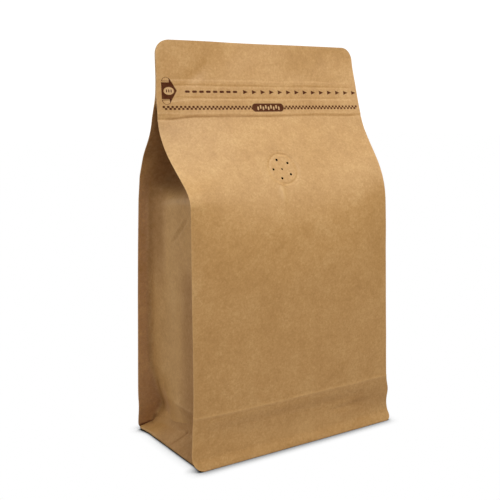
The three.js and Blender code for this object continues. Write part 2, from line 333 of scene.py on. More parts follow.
PRINT_STEP = {
    "print_arrow": 0.5, "print_tab_outline": 0.4, "print_tab_oval": 0.5, "print_tab_grips": 0.5,
    "print_dashes": 0.6, "print_triangles": 0.6, "print_checker": 0.8, "print_pill": 0.6,
    "print_pill_teeth": 0.5,
}

# Pulp of the paper, and the ramps that turn it into pale and dark spots
MOTTLE = {"scale": 42, "detail": 5, "rough": 0.95}
FIBRES = {"scale": 950, "detail": 1, "rough": 0.5, "distortion": 0.3}
FIBRE_TURNS = ((0.5, 0.3, 0), (-0.6, 1.35, 0), (0.9, 2.4, 0))
FIBRE_STRETCH = (1.0, 1.0, 3.0)
SPECKS = {"scale": 780, "detail": 1, "rough": 0.5}
PALE_FIBRES = (0.56, 0.80, 0, 0.5)
PALE_CLOUDS = (0.5, 0.75, 0, 0.85)
DARK_FIBRES = (0.44, 0.2, 0, 0.5)
DARK_CLOUDS = (0.5, 0.25, 0, 0.85)
DARK_SPECKS = (0.66, 0.76, 0, 0.55)
FIBRE_RELIEF, CLOUD_RELIEF = 0.6, 0.4
BROKEN = {"scale": 420, "detail": 3, "rough": 0.6}
BROKEN_RAMP = (0.35, 0.65)
EDGE_KEPT, CREASE_AND_HIGHLIGHT_KEPT, PAINTED_SHADE_KEPT = 0.55, 0.6, 0.8  # what stays of a mark where it is broken most

# Finish of the paper and the ink
PAPER_WEAR_AND_HIGHLIGHTS = {"Edges": 0.35, "Creases": 0.5}
PAINTED_SHADE_TINT = (0.30, 0.11, 0.0)  # colour of the painted shade, as a part of the shade colour's
# how much rougher the paper is where shade is painted
PAINTED_SHADE_ROUGH = 0.8
PAPER_ROUGH = (0.46, 0.58)
PAPER_RELIEF = {"Strength": 0.35, "Distance": 0.00006}
PAPER_SHINE = 0.45
INK_ROUGH = (0.45, 0.6)
INK_RELIEF = {"Strength": 0.3, "Distance": 0.00005}
INK_SHINE = 0.12
INK_FIBRE = 0.3  # how much the dark fibres show in the ink
INK_FIBRE_TINT = 0.6
DARK_COVER, PALE_COVER = 0.88, 0.5  # how much of the paper the dark and the pale ink hide

# Studio: each light's place, width, height and tint, in metres
LIGHTS = {
    "front": ((-0.08, -0.54, 0.62), 0.6, 0.45, (1.03, 1.0, 0.99)),
    "top": ((0.0, -0.05, 0.9), 0.8, 0.6, (0.91, 1.0, 1.01)),
    "right": ((0.6, -0.6, 0.8), 0.7, 0.7, (1.0, 1.0, 1.0)),
    "left": ((-1.25, 0.3, 0.32), 0.9, 0.9, (1.0, 1.0, 1.0)),
    "back": ((-0.7, 1.1, 0.6), 0.9, 0.9, (1.0, 1.0, 1.0)),
}
LIGHT_AIM = Vector((0, 0, 0.115))
CAMERA_PLACE = (-0.28068, -0.4082, 0.20245)
CAMERA_YAW, CAMERA_PITCH = math.radians(33.48), math.radians(10.18)
SENSOR_WIDTH = 36
CAMERA_REACH = (0.01, 50)
FLOOR_HALF = 4.0
FLOOR_DROP = 0.0001
FLOOR_ROUGH = 0.9
CONTACT_RAMP = (0.42, 0.97)
CONTACT_FALL = 1.3
CONTACT_SAMPLES = 16
ROOM_WHITE = 1.1
WHITE = (1, 1, 1, 1)


class BagSizes(bpy.types.PropertyGroup):
    """Sizes of the bag and its paper"""
    width: FloatProperty(
        name="Width", description="Across the panels at the foot, fins included",
        default=CAD_HIGH.x - CAD_LOW.x, min=0.05, unit="LENGTH", precision=4)
    depth: FloatProperty(
        name="Depth", description="From the front panel to the back panel",
        default=CAD_HIGH.y - CAD_LOW.y, min=0.02, unit="LENGTH", precision=4)
    height: FloatProperty(
        name="Height", description="From the floor to the top edge",
        default=CAD_HIGH.z - CAD_LOW.z, min=0.08, unit="LENGTH", precision=4)
    paper: FloatProperty(
        name="Paper", description="Thickness of one sheet of lined paper",
        default=0.3 * MM, min=0.0001, unit="LENGTH", precision=5)
    top_radius: FloatProperty(
        name="Top Corner", description="Radius of the two upper corners",
        default=8 * MM, min=0.001, unit="LENGTH", precision=4)
    foot_radius_left: FloatProperty(
        name="Left Foot Corner", description="Radius of the lower left corner",
        default=9.5 * MM, min=0.001, unit="LENGTH", precision=4)
    foot_radius_back: FloatProperty(
        name="Back Foot Corner", description="Radius of the two lower corners of the back",
        default=4 * MM, min=0.001, unit="LENGTH", precision=4)
    foot_radius_right: FloatProperty(
        name="Right Foot Corner", description="Radius of the lower right corner",
        default=4.5 * MM, min=0.001, unit="LENGTH", precision=4)
    slackness: FloatProperty(
        name="Slackness", description="Height of the soft waves in the filled panels",
        default=0.14 * MM, min=0, unit="LENGTH", precision=5)


class PrintSizes(bpy.types.PropertyGroup):
    """Sizes of the print on the front"""
    checker_low: FloatProperty(
        name="Checker Height", description="Lower edge of the checker band above the floor",
        default=198.35 * MM, unit="LENGTH", precision=5)
    checker_row: FloatProperty(
        name="Checker Row", description="Height of one row of the checker band",
        default=1.06 * MM, min=0.0002, unit="LENGTH", precision=5)
    checker_pitch: FloatProperty(
        name="Checker Pitch", description="Width of a dark and a bare square together",
        default=2.487 * MM, min=0.0004, unit="LENGTH", precision=5)
    checker_left: FloatProperty(
        name="Checker Start", description="Left end of the checker band",
        default=-66.83 * MM, unit="LENGTH", precision=5)
    checker_right: FloatProperty(
        name="Checker End", description="Right end of the checker band",
        default=67.4 * MM, unit="LENGTH", precision=5)
    triangles: IntProperty(
        name="Triangles", description="Number of small triangles that point to the right",
        default=14, min=1)
    triangle_left: FloatProperty(
        name="First Triangle", description="Place of the first triangle across the panel",
        default=-14.1 * MM, unit="LENGTH", precision=5)
    triangle_pitch: FloatProperty(
        name="Triangle Pitch", description="Distance between the triangles",
        default=6.18 * MM, min=0.001, unit="LENGTH", precision=5)
    tear_height: FloatProperty(
        name="Tear Line", description="Height of the triangles and the dashes above the floor",
        default=208.35 * MM, unit="LENGTH", precision=5)
    bleed: FloatProperty(
        name="Bleed", description="How far the ink spreads past the squares' own edges",
        default=0.03 * MM, min=0, unit="LENGTH", precision=5)
    ink: FloatProperty(
        name="Ink", description="How far the ink stands on the paper",
        default=0.04 * MM, min=0.00001, unit="LENGTH", precision=5)


class ValveSizes(bpy.types.PropertyGroup):
    """Sizes of the round valve"""
    radius: FloatProperty(
        name="Radius", description="Radius of the round valve plate",
        default=11.6 * MM, min=0.003, unit="LENGTH", precision=4)
    across: FloatProperty(
        name="Place Across", description="Centre of the valve from the middle of the panel",
        default=-0.5 * MM, unit="LENGTH", precision=4)
    up: FloatProperty(
        name="Place Up", description="Height of the valve's centre above the floor",
        default=164.5 * MM, unit="LENGTH", precision=4)
    pinholes: IntProperty(
        name="Pinholes", description="Number of pinholes round the middle one", default=5, min=3)
    pinhole_circle: FloatProperty(
        name="Pinhole Circle", description="Radius of the ring of pinholes",
        default=6.2 * MM, min=0.001, unit="LENGTH", precision=4)
    pinhole_shift: FloatProperty(
        name="Pinhole Shift", description="How far left of the plate's middle the pinholes are",
        default=0.9 * MM, unit="LENGTH", precision=4)
    pinhole_radius: FloatProperty(
        name="Pinhole", description="Radius of one pinhole",
        default=0.8 * MM, min=0.0002, unit="LENGTH", precision=5)
    groove_circle: FloatProperty(
        name="Groove Circle", description="Radius of the pressed groove",
        default=9.6 * MM, min=0.002, unit="LENGTH", precision=4)
    groove: FloatProperty(
        name="Groove", description="Depth of the pressed groove round the plate",
        default=0.4 * MM, min=0, unit="LENGTH", precision=5)
    dish: FloatProperty(
        name="Dish", description="How far the middle of the plate is pressed in",
        default=0.35 * MM, min=0, unit="LENGTH", precision=5)


class PaperLook(bpy.types.PropertyGroup):
    """Colours of the paper and its print"""
    kraft: FloatVectorProperty(
        name="Kraft", description="Colour of the paper between its fibres",
        default=(0.521, 0.290, 0.100), size=3, min=0, max=1, subtype="COLOR")
    # The fibre colour is also that of the painted highlights on ridges, creases and the gussets' middle
    fibre: FloatVectorProperty(
        name="Fibre", description="Colour of the pale fibres and worn creases",
        default=(0.640, 0.395, 0.165), size=3, min=0, max=1, subtype="COLOR")
    shade: FloatVectorProperty(
        name="Shade", description="Colour of the dark fibres and clouds",
        default=(0.410, 0.215, 0.062), size=3, min=0, max=1, subtype="COLOR")
    # Painted cooler, greyer tint that stands in for the light on the shaded inner face of the back fins
    faded: FloatVectorProperty(
        name="Faded", description="Colour of the paper that faces in along the back fins",
        default=(0.495, 0.282, 0.138), size=3, min=0, max=1, subtype="COLOR")
    ink: FloatVectorProperty(
        name="Ink", description="Colour of the print",
        default=(0.080, 0.018, 0.003), size=3, min=0, max=1, subtype="COLOR")
    bare: FloatVectorProperty(
        name="Bare Print", description="Colour of the pale shapes in the print",
        default=(0.62, 0.40, 0.20), size=3, min=0, max=1, subtype="COLOR")
    # Near-black painted shade that shows through the pinholes
    pinhole_shade: FloatVectorProperty(
        name="Pinhole Shade", description="Colour of the valve behind its pinholes",
        default=(0.006, 0.003, 0.001), size=3, min=0, max=1, subtype="COLOR")
    grain: FloatProperty(
        name="Grain", description="Strength of the paper's fine grain", default=0.9, min=0, max=4)


class StudioLook(bpy.types.PropertyGroup):
    """Floor, lights and lens of the studio"""
    floor: FloatVectorProperty(
        name="Floor", description="Colour of the floor", default=(0.48, 0.44, 0.41), size=3,
        min=0, max=1, subtype="COLOR")
    ambient: FloatProperty(
        name="Room Light", description="Strength of the even light of the room",
        default=0.005, min=0)
    front: FloatProperty(
        name="Front Light", description="Power of the soft light above and before the front",
        default=3.45, min=0, unit="POWER")
    top: FloatProperty(
        name="Top Light", description="Power of the soft light right above the bag",
        default=4.12, min=0, unit="POWER")
    right: FloatProperty(
        name="Right Light", description="Power of the soft light on the right",
        default=2.85, min=0, unit="POWER")
    left: FloatProperty(
        name="Left Light", description="Power of the soft light on the left",
        default=6.0, min=0, unit="POWER")
    back: FloatProperty(
        name="Back Light", description="Power of the soft light behind the bag",
        default=3.3, min=0, unit="POWER")
    contact: FloatProperty(
        name="Contact Shadow", description="Reach of the shadow round the foot of the bag",
        default=0.008, min=0.001, unit="LENGTH", precision=4)
    lens: FloatProperty(
        name="Lens", description="Focal length of the camera, in millimetres on a 36 mm frame",
        default=59.206, min=10)


def hinge(distance, softness):
    """Zero below a bend, a straight rise above it, and a parabola across the soft part."""
    bent = (distance + softness) ** 2 / (4 * softness)
    return np.where(distance <= -softness, 0, np.where(distance >= softness, distance, bent))


def profile(stations, z):
    """Value at height z of the line through the stations, with its bends rounded."""
    z = np.asarray(z, float)
    slopes = [(b[1] - a[1]) / (b[0] - a[0]) for a, b in zip(stations, stations[1:])]
    value = stations[0][1] + slopes[0] * (z - stations[0][0])
    for station, before, after in zip(stations[1:-1], slopes, slopes[1:]):
        value = value + (after - before) * hinge(z - station[0], station[2])
    return value


def smooth(low, high, value):
    """Zero at low, one at high, with a soft start and end."""
    share = np.clip((value - low) / (high - low), 0, 1)
    return share * share * (3 - 2 * share)


def lerp(a, b, share):
    """Value that goes from a to b as share goes from zero to one."""
    return a + (b - a) * share


def bump(distance, half_width):
    """Soft ridge of height one that dies out at about twice its half width."""
    return np.exp(-((distance / half_width) ** 2))


def waves(a, b, name, which=0):
    """Seeded soft waves over two directions, about one high; which picks one of several like sets."""
    seed, count, longest, shortest = WAVES[name]
    rng = np.random.default_rng(seed + which)
    total = np.zeros(np.broadcast(a, b).shape)
    for _ in range(count):
        length = rng.uniform(shortest, longest)
        turn, phase = rng.uniform(0, 2 * math.pi, 2)
        along = a * math.cos(turn) + b * math.sin(turn)
        total = total + np.sin(2 * math.pi * along / length + phase) * length / longest
    return total / math.sqrt(count)


def patch(strength, *limits, **places):
    """Mark at places given by axis: its strength, cut down by each of its limits.

    A limit is an axis, a way and two places along the axis. With "from" the mark fades in between
    the two, with "until" it fades out between them, and with "near" it is strongest at the first,
    with the second as its half width. The axis "out" is the distance past the gusset's seam.
    """
    for axis, way, first, second in limits:
        if way == "near":
            share = bump(places[axis] - first, second)
        else:
            share = smooth(first, second, places[axis])
        strength = strength * (1 - share if way == "until" else share)
    return strength


def strongest(marks, **places):
    """The strongest of several marks at each place."""
    return np.max([patch(*mark, **places) for mark in marks], axis=0)


def zip_dip(x):
    """How far the lowest band sinks towards its left end."""
    return ZIP_DIP["down"] * smooth(ZIP_DIP["from"], ZIP_DIP["to"], x)


class BagForm:
    """The filled bag's surfaces, in millimetres."""

    def __init__(self, scene):
        sizes = scene.bag_sizes
        self.paper = sizes.paper / MM
        self.top_radius = sizes.top_radius / MM
        self.foot_radius = {-1: sizes.foot_radius_left / MM, 1: sizes.foot_radius_right / MM}
        self.back_radius = sizes.foot_radius_back / MM
        self.slack = sizes.slackness / MM
        size = (sizes.width, sizes.depth, sizes.height)
        self.scale = np.array([s / MM / standard for s, standard in zip(size, STANDARD)]) * MM
        valve = scene.valve_sizes
        self.valve_x = valve.across / MM
        self.valve_z = valve.up / MM
        self.valve_radius = valve.radius / MM

    def half_width(self, z):
        """Half of the panels' width, which spreads a little at the foot."""
        spread = np.maximum(0, 1 - z / FOOT_RISE) ** 2
        return BODY_HALF_WIDTH + (FOOT_HALF_WIDTH - BODY_HALF_WIDTH) * spread

    def tip(self, z, side, back=False):
        """Distance of the fins' edge from the centre plane; side is 1 right and -1 left."""
        foot, top = self.back_radius if back else self.foot_radius[side], self.top_radius
        low = foot - np.sqrt(foot**2 - np.maximum(0, foot - z) ** 2)
        high = top - np.sqrt(np.maximum(0, top**2 - np.maximum(0, top - (HEIGHT - z)) ** 2))
        return profile(FIN_EDGE["back" if back else "front", side], z) - low - high

    def across(self, x, z, left, middle, right):
        """Curve across a panel through its left edge, middle and right edge."""
        share = np.clip(x / self.half_width(z), -EDGE_REACH, EDGE_REACH)
        edge = np.where(share < 0, left, right)
        return middle + (edge - middle) * np.abs(share) ** EDGE_CURL

    def sway(self, x, z):
        """How far both panels lean back together above the tear strip."""
        return profile(TOP_SWAY, x) * hinge(z - TOP_SWAY_FROM, TOP_SWAY_SOFT)

    def front_form(self, x, z):
        """The front panel without its creases and dents."""
        left, middle, right = (profile(p, z) for p in (FRONT_LEFT, FRONT_MIDDLE, FRONT_RIGHT))
        return self.across(x, z, left, middle, right) + self.sway(x, z)

    def crease_level(self, x, z, which):
        """Height above one of the front's creases, which waver across it."""
        height, _, _, waver = FRONT_CREASES[which]
        level = z - height + waver * waves(x, 0 * z, "crease_line", which)
        return level + (zip_dip(x) if which == ZIP_CREASE else 0)

    def band_relief(self, x, z):
        """How far the pressed bands stand out of the front."""
        bands = 0
        for i, (low, high, rise) in enumerate(BANDS):
            level = z + BAND_WAVER * waves(x, 0 * z, "band_edge", i)
            level = level + (zip_dip(x) if i == 0 else 0)
            rise = rise * (1 + BAND_UNEVEN * waves(x, 0 * z, "band_rise", i))
            bands = bands + rise * (
                smooth(low - BAND_RAMP, low, level) - smooth(high, high + BAND_RAMP, level))
        inner = BODY_HALF_WIDTH - BAND_END
        return bands * (1 - smooth(inner - BAND_END, inner, np.abs(x)))

    def front_relief(self, x, z):
        """How far bands, creases, dents and soft waves stand out of the front."""
        rise = self.band_relief(x, z)
        for i, (_, half, crease, _) in enumerate(FRONT_CREASES):
            uneven = 1 + CREASE_UNEVEN * waves(x, 0 * z, "crease_rise", i)
            rise = rise + crease * bump(self.crease_level(x, z, i), half) * uneven
        for cx, cz, wide, high, depth, turn in FRONT_DENTS:
            c, s = math.cos(math.radians(turn)), math.sin(math.radians(turn))
            a, b = (x - cx) * c + (z - cz) * s, (z - cz) * c - (x - cx) * s
            rise = rise - depth * np.exp(-((a / wide) ** 2) - (b / high) ** 2)
        rise = rise + FOOT_CURL["out"] * (1 - smooth(0, FOOT_CURL["up"], z))
        return rise + self.slack * (1 - patch(*BAND_CALM, z=z)) * waves(x, z, "front")

    def front(self, x, z):
        """The front panel's outer face."""
        return self.front_form(x, z) - self.front_relief(x, z)

    def back_form(self, x, z):
        """The back panel without its soft waves."""
        gap = profile(SIDE_GAP, z)
        left, right = profile(FRONT_LEFT, z) + gap, profile(FRONT_RIGHT, z) + gap
        middle = (left + right) / 2 + profile(BACK_SWELL, z)
        flare = BACK_FLARE["out"] * (1 - smooth(0, BACK_FLARE["up"], z))
        flare = flare * smooth(BACK_FLARE["from"], BACK_FLARE["to"], np.abs(x))
        return self.across(x, z, left, middle, right) + self.sway(x, z) + flare

    def back(self, x, z):
        """The back panel's outer face."""
        return self.back_form(x, z) + self.slack * (1 - smooth(*BACK_CALM, z)) * waves(x, z, "back")

    def seal(self, x, z):
        """Middle between the panels, where their sheets meet above the zipper."""
        return (self.front_form(x, z) + self.back_form(x, z)) / 2

    def on_front(self, x, z, lift):
        """Points that stand lift out of the front panel, square to it."""
        step = 0.2
        y = self.front(x, z)
        slope_x = (self.front(x + step, z) - self.front(x - step, z)) / (2 * step)
        slope_z = (self.front(x, z + step) - self.front(x, z - step)) / (2 * step)
        out = np.stack([slope_x, -np.ones_like(y), slope_z], -1)
        out /= np.linalg.norm(out, axis=-1, keepdims=True)
        return np.stack([x, y, z], -1) + out * np.asarray(lift)[..., None]

    def valve_lean(self):
        """Slope of the front at the valve."""
        above = self.front_form(self.valve_x, self.valve_z + LEAN_SPAN)
        below = self.front_form(self.valve_x, self.valve_z - LEAN_SPAN)
        return (above - below) / (2 * LEAN_SPAN)

    def on_valve(self, local):
        """Places across and heights on the front of points given from the valve's middle."""
        return self.valve_x + local[:, 0], self.valve_z + local[:, 1] / math.hypot(1, self.valve_lean())

    def seat(self, x, z):
        """Depth of the round pocket that the valve stands in."""
        along = (z - self.valve_z) * np.sqrt(1 + self.valve_lean() ** 2)
        away = np.hypot(x - self.valve_x, along)
        inner, outer = (self.valve_radius - wall for wall in VALVE_SEAT["wall"])
        return VALVE_SEAT["depth"] * (1 - smooth(inner, outer, away))

    def fold_depth(self, z):
        """How far the gusset's middle folds in, rolled over softly at its start."""
        steps = np.linspace(-1, 1, FOLD_STEPS)
        weights = 1 - steps**2 + FOLD_END_SHARE
        total = 0
        for step, weight in zip(steps, weights / weights.sum()):
            half = np.minimum(profile(SIDE_GAP, z + FOLD_ROLL * step) / 2, GUSSET_HALF)
            total = total + weight * np.sqrt(GUSSET_HALF**2 - half**2)
        return total

    def opened(self, z):
        """Zero where the gusset is folded shut and one where it is open."""
        return smooth(FOLD_SHUT_GAP, FOLD_OPEN_GAP, profile(SIDE_GAP, z))

    def wall(self, along, z, root):
        """Distance of the gusset's wall from the centre plane; along is -1 front and 1 back."""
        bow = (FOLD_ONSET["front"] + FOLD_ONSET["back"]) / 2 - FOLD_ONSET["middle"]
        lean = (FOLD_ONSET["back"] - FOLD_ONSET["front"]) / 2
        fold = self.fold_depth(z - FOLD_ONSET["middle"] - lean * along - bow * along**2)
        power = lerp(WALL_BOW, FOLD_BOW, smooth(0, GUSSET_HALF / 2, fold))
        recess = self.opened(z) * (profile(GUSSET_SEAM, z) - profile(GUSSET_WALL, z) + fold)
        return root - recess * (1 - np.abs(along) ** power)

    def gusset(self, z, side):
        """Columns of the gusset's outer face at heights z: flange, folded wall, flange."""
        z = np.asarray(z, float)[:, None]
        t = np.linspace(0, 1, WALL_COLUMNS)[None, :]
        opened = self.opened(z)
        front_tip = self.tip(z, side) - FLANGE_INSET
        back_tip = self.tip(z, side, back=True) - FLANGE_INSET
        root = lerp(front_tip - ROOT_INSET, profile(GUSSET_SEAM, z), opened)
        wall_x = self.wall(2 * t - 1, z, root)
        margin = lerp(*WALL_MARGIN, opened)
        legs = np.linspace(0, 1, FLANGE_COLUMNS + 1)[None, :-1]
        front_x = lerp(front_tip, root, legs)
        back_x = lerp(back_tip, root, legs)[:, ::-1]
        edge = 2 * self.paper
        behind = np.maximum(self.front_form(side * front_x, z), self.front(side * front_x, z))
        back_y = self.back_form(side * back_x, z) - edge
        wall_y = lerp(self.front_form(side * wall_x, z) + edge,
                      self.back_form(side * wall_x, z) - edge, lerp(margin, 1 - margin, t))
        x = np.concatenate([front_x, wall_x, back_x], 1)
        y = np.concatenate([behind + edge, wall_y, back_y], 1)
        inside = np.concatenate([0 * front_x, np.sin(math.pi * t) + 0 * wall_x, 0 * back_x], 1)
        crisp = np.stack([x, y])
        soft = crisp
        for i in range(SEAM_PASSES[1]):
            soft = soft.copy()
            soft[:, :, 1:-1] = (soft[:, :, :-2] + 2 * soft[:, :, 1:-1] + soft[:, :, 2:]) / 4
            crisp = soft if i + 1 == SEAM_PASSES[0] else crisp
        x, y = lerp(crisp, soft, smooth(*SEAM_SOFT, z)[None])
        return x + inside * opened * self.gusset_relief(y, z, side), y

    def gusset_relief(self, y, z, side):
        """How far creases and soft waves stand out of the gusset."""
        rise = self.slack * GUSSET_SLACK * waves(y, z * GUSSET_STRETCH, "gusset", side)
        dent = GUSSET_DENT
        run, climb = dent["slant"]
        from_y, from_z = y - dent["y"], z - dent["z"]
        line = (from_y * run + from_z * climb) / math.hypot(run, climb)
        ridge = dent["ridge"] * bump(line - dent["ridge_at"], dent["ridge_half"])
        near = 1 - smooth(*dent["fade"], np.hypot(from_y, from_z))
        rise = rise - dent["depth"] * near * (bump(line, dent["half"]) - ridge)
        return rise + patch(*GUSSET_CREASE, y=y, z=z)


def section_heights(form, top):
    """Heights of the rows: close together round corners, creases and bands."""
    turn = np.linspace(0, math.pi / 2, CORNER_ROWS)
    foot = form.foot_radius[-1]
    rows = list(np.maximum(foot * (1 - np.cos(turn)), FOOT_GAP * np.linspace(*FOOT_ROWS, len(turn))))
    for end, step in ROW_RUNS:
        end = min(end, HEIGHT - form.top_radius, top)
        count = max(1, round((end - rows[-1]) / step))
        if end > rows[-1]:
            rows += list(np.linspace(rows[-1], end, count + 1)[1:])
    if top >= HEIGHT:
        rows += list(HEIGHT - form.top_radius * (1 - np.sin(turn[1:])))
    return np.array(rows)


def grid_faces(rows, columns):
    """Four-sided faces between the points of a grid."""
    corner = (np.arange(rows - 1)[:, None] * columns + np.arange(columns - 1)).reshape(-1, 1)
    return (corner + np.array([0, 1, columns + 1, columns])).tolist()


def shell(name, form, outer, inner, faces, material, marks=None):
    """Closed thin piece from its outer points, its inner points and the faces they share."""
    outer, inner = np.reshape(outer, (-1, 3)), np.reshape(inner, (-1, 3))
    count = len(outer)
    edges = dict.fromkeys((a, b) for face in faces for a, b in zip(face, face[1:] + face[:1]))
    rims = [(b, a, a + count, b + count) for a, b in edges if (b, a) not in edges]
    under = [tuple(i + count for i in reversed(face)) for face in faces]
    points = np.concatenate([outer, inner]) * form.scale
    mesh = bpy.data.meshes.new(name)
    mesh.from_pydata(points.tolist(), [], [tuple(f) for f in faces] + under + rims)
    skin = bmesh.new()
    skin.from_mesh(mesh)
    loose = [v for v in skin.verts if not v.link_faces]
    bmesh.ops.delete(skin, geom=loose, context="VERTS")
    bmesh.ops.recalc_face_normals(skin, faces=skin.faces)
    skin.to_mesh(mesh)
    skin.free()
    mesh.shade_smooth()
    mesh.set_sharp_from_angle(angle=SHARP_ANGLE)
    for key, values in (marks or {}).items():
        mark = mesh.attributes.new(key, "FLOAT", "POINT")
        values = np.concatenate([np.ravel(values), np.ravel(values)])
        mark.data.foreach_set("value", values.astype(np.float32))
    mesh.materials.append(material)
    piece = bpy.data.objects.new(name, mesh)
    bpy.context.scene.collection.objects.link(piece)
    return piece


def settle(piece, node):
    """The piece stands for a solid of the frame: it hangs under the root, and that solid is hidden."""
    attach(piece, "root")
    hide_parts(node)


def edge_mark(distance):
    """One at a cut edge, fading within a millimetre."""
    return 1 - smooth(*EDGE_FADE, distance)


class NodeDesk:
    """Places shader nodes in a tree and joins them."""

    GRID = {"columns": 12, "wide": 190, "high": 260}

    def __init__(self, tree):
        self.tree = tree
        self.count = 0

    def add(self, kind, inputs=(), **settings):
        """New node with its settings; an input is a value or the socket that feeds it."""
        node = self.tree.nodes.new(kind)
        self.count += 1
        row, column = divmod(self.count, self.GRID["columns"])
        node.location = (column * self.GRID["wide"], -row * self.GRID["high"])
        for key, value in settings.items():
            setattr(node, key, value)
        for key, value in dict(inputs).items():
            if isinstance(value, bpy.types.NodeSocket):
                self.tree.links.new(value, node.inputs[key])
            else:
                node.inputs[key].default_value = value
        return node

    def math(self, operation, a, b=0.0, c=0.0):
        return self.add("ShaderNodeMath", {0: a, 1: b, 2: c}, operation=operation).outputs[0]

    def ramp(self, value, low, high, start=0.0, end=1.0):
        return self.add("ShaderNodeMapRange", {
            "Value": value, "From Min": low, "From Max": high, "To Min": start, "To Max": end,
        }).outputs["Result"]

    def noise(self, place, scale, detail=2.0, rough=0.5, distortion=0.0):
        return self.add("ShaderNodeTexNoise", {
            "Vector": place, "Scale": scale, "Detail": detail, "Roughness": rough,
            "Distortion": distortion,
        }).outputs["Fac"]

    def mix(self, share, a, b):
        """Colour between a and b; the node keeps its colour sockets behind those for numbers."""
        return self.add("ShaderNodeMix", {0: share, 6: a, 7: b}, data_type="RGBA").outputs[2]

    def mark(self, name):
        """Value of a mark that the pieces carry at their points."""
        return self.add("ShaderNodeAttribute", attribute_name=name).outputs["Fac"]

    def group(self, tree, inputs):
        return self.add("ShaderNodeGroup", inputs, node_tree=tree)


def new_group(name, inputs, outputs):
    """Empty shader node group with named value sockets, and its desk, entry and exit."""
    tree = bpy.data.node_groups.new(name, "ShaderNodeTree")
    for in_out, keys in (("INPUT", inputs), ("OUTPUT", outputs)):
        for key in keys:
            tree.interface.new_socket(key, in_out=in_out, socket_type="NodeSocketFloat")
    desk = NodeDesk(tree)
    return tree, desk, desk.add("NodeGroupInput"), desk.add("NodeGroupOutput")


def fibre_group():
    """Pulp of kraft paper: fine grain, short fibres lying every way, and soft clouds."""
    tree = bpy.data.node_groups.get("Kraft Fibres")
    if tree:
        return tree
    tree, desk, entry, leave = new_group("Kraft Fibres", ("Grain",), ("Pale", "Dark", "Height"))
    place = desk.add("ShaderNodeTexCoord").outputs["Object"]
    mottle = desk.noise(place, **MOTTLE)
    fibres = []
    for seed, turn in enumerate(FIBRE_TURNS):
        laid = desk.add("ShaderNodeMapping", {
            "Vector": place, "Location": (seed, seed, seed), "Rotation": turn, "Scale": FIBRE_STRETCH,
        }, vector_type="TEXTURE").outputs["Vector"]
        fibres.append(desk.noise(laid, **FIBRES))
    specks = desk.ramp(desk.noise(place, **SPECKS), *DARK_SPECKS)
    strands = desk.math("MAXIMUM", desk.math("MAXIMUM", fibres[0], fibres[1]), fibres[2])
    sunk = desk.math("MINIMUM", desk.math("MINIMUM", fibres[0], fibres[1]), fibres[2])
    pale = desk.math("ADD", desk.ramp(strands, *PALE_FIBRES), desk.ramp(mottle, *PALE_CLOUDS))
    dark = desk.math("ADD", desk.ramp(sunk, *DARK_FIBRES), desk.ramp(mottle, *DARK_CLOUDS))
    dark = desk.math("MAXIMUM", dark, specks)
    clouds = desk.math("MULTIPLY", mottle, CLOUD_RELIEF)
    height = desk.math("MULTIPLY_ADD", strands, FIBRE_RELIEF, clouds)
    for key, value in (("Pale", pale), ("Dark", dark), ("Height", height)):
        scaled = desk.math("MULTIPLY", value, entry.outputs["Grain"])
        tree.links.new(scaled, leave.inputs[key])
    return tree


def wear_and_light_group():
    """Rubbed edges, rubbed creases and painted highlights, painted shade in folds, hollows and seams, and a
    painted cooler tint on the shaded back fins, broken up by the paper's grain.
    """
    tree = bpy.data.node_groups.get("Paper Wear")
    if tree:
        return tree
    tree, desk, entry, leave = new_group("Paper Wear", ("Edges", "Creases"), ("Worn", "Tucked", "Faded"))
    place = desk.add("ShaderNodeTexCoord").outputs["Object"]
    broken = desk.ramp(desk.noise(place, **BROKEN), *BROKEN_RAMP)
    edge = desk.math("MULTIPLY", desk.mark("edge"), entry.outputs["Edges"])
    crease = desk.math("MULTIPLY", desk.mark("crease"), entry.outputs["Creases"])
    rubbed = desk.math("MULTIPLY", edge, desk.ramp(broken, 0, 1, EDGE_KEPT, 1))
    # The mark crease carries rubbed paper and painted highlights
    folded = desk.math("MULTIPLY", crease, desk.ramp(broken, 0, 1, CREASE_AND_HIGHLIGHT_KEPT, 1))
    # The mark tuck carries painted shade in folds, hollows, seams and along the foot
    painted_shade = desk.math("MULTIPLY", desk.mark("tuck"), desk.ramp(broken, 0, 1, PAINTED_SHADE_KEPT, 1))
    tree.links.new(desk.math("MAXIMUM", rubbed, folded), leave.inputs["Worn"])
    tree.links.new(painted_shade, leave.inputs["Tucked"])
    tree.links.new(desk.mark("faded"), leave.inputs["Faded"])
    return tree


def colour(value):
    """The colour with full cover, as sockets take it."""
    return (*value, 1.0)


def new_material(name):
    """Material with its node desk and its shader."""
    material = bpy.data.materials.new(name)
    material.use_nodes = True
    desk = NodeDesk(material.node_tree)
    shader = material.node_tree.nodes["Principled BSDF"]
    return material, desk, shader


def finish_material(material, desk, shader, tone, rough, height, relief, shine):
    """Joins colour, roughness and relief to the material's shader, and sets its shine."""
    bent = desk.add("ShaderNodeBump", {**relief, "Height": height})
    links = material.node_tree.links
    links.new(tone, shader.inputs["Base Color"])
    links.new(rough, shader.inputs["Roughness"])
    links.new(bent.outputs["Normal"], shader.inputs["Normal"])
    shader.inputs["Specular IOR Level"].default_value = shine
    return material


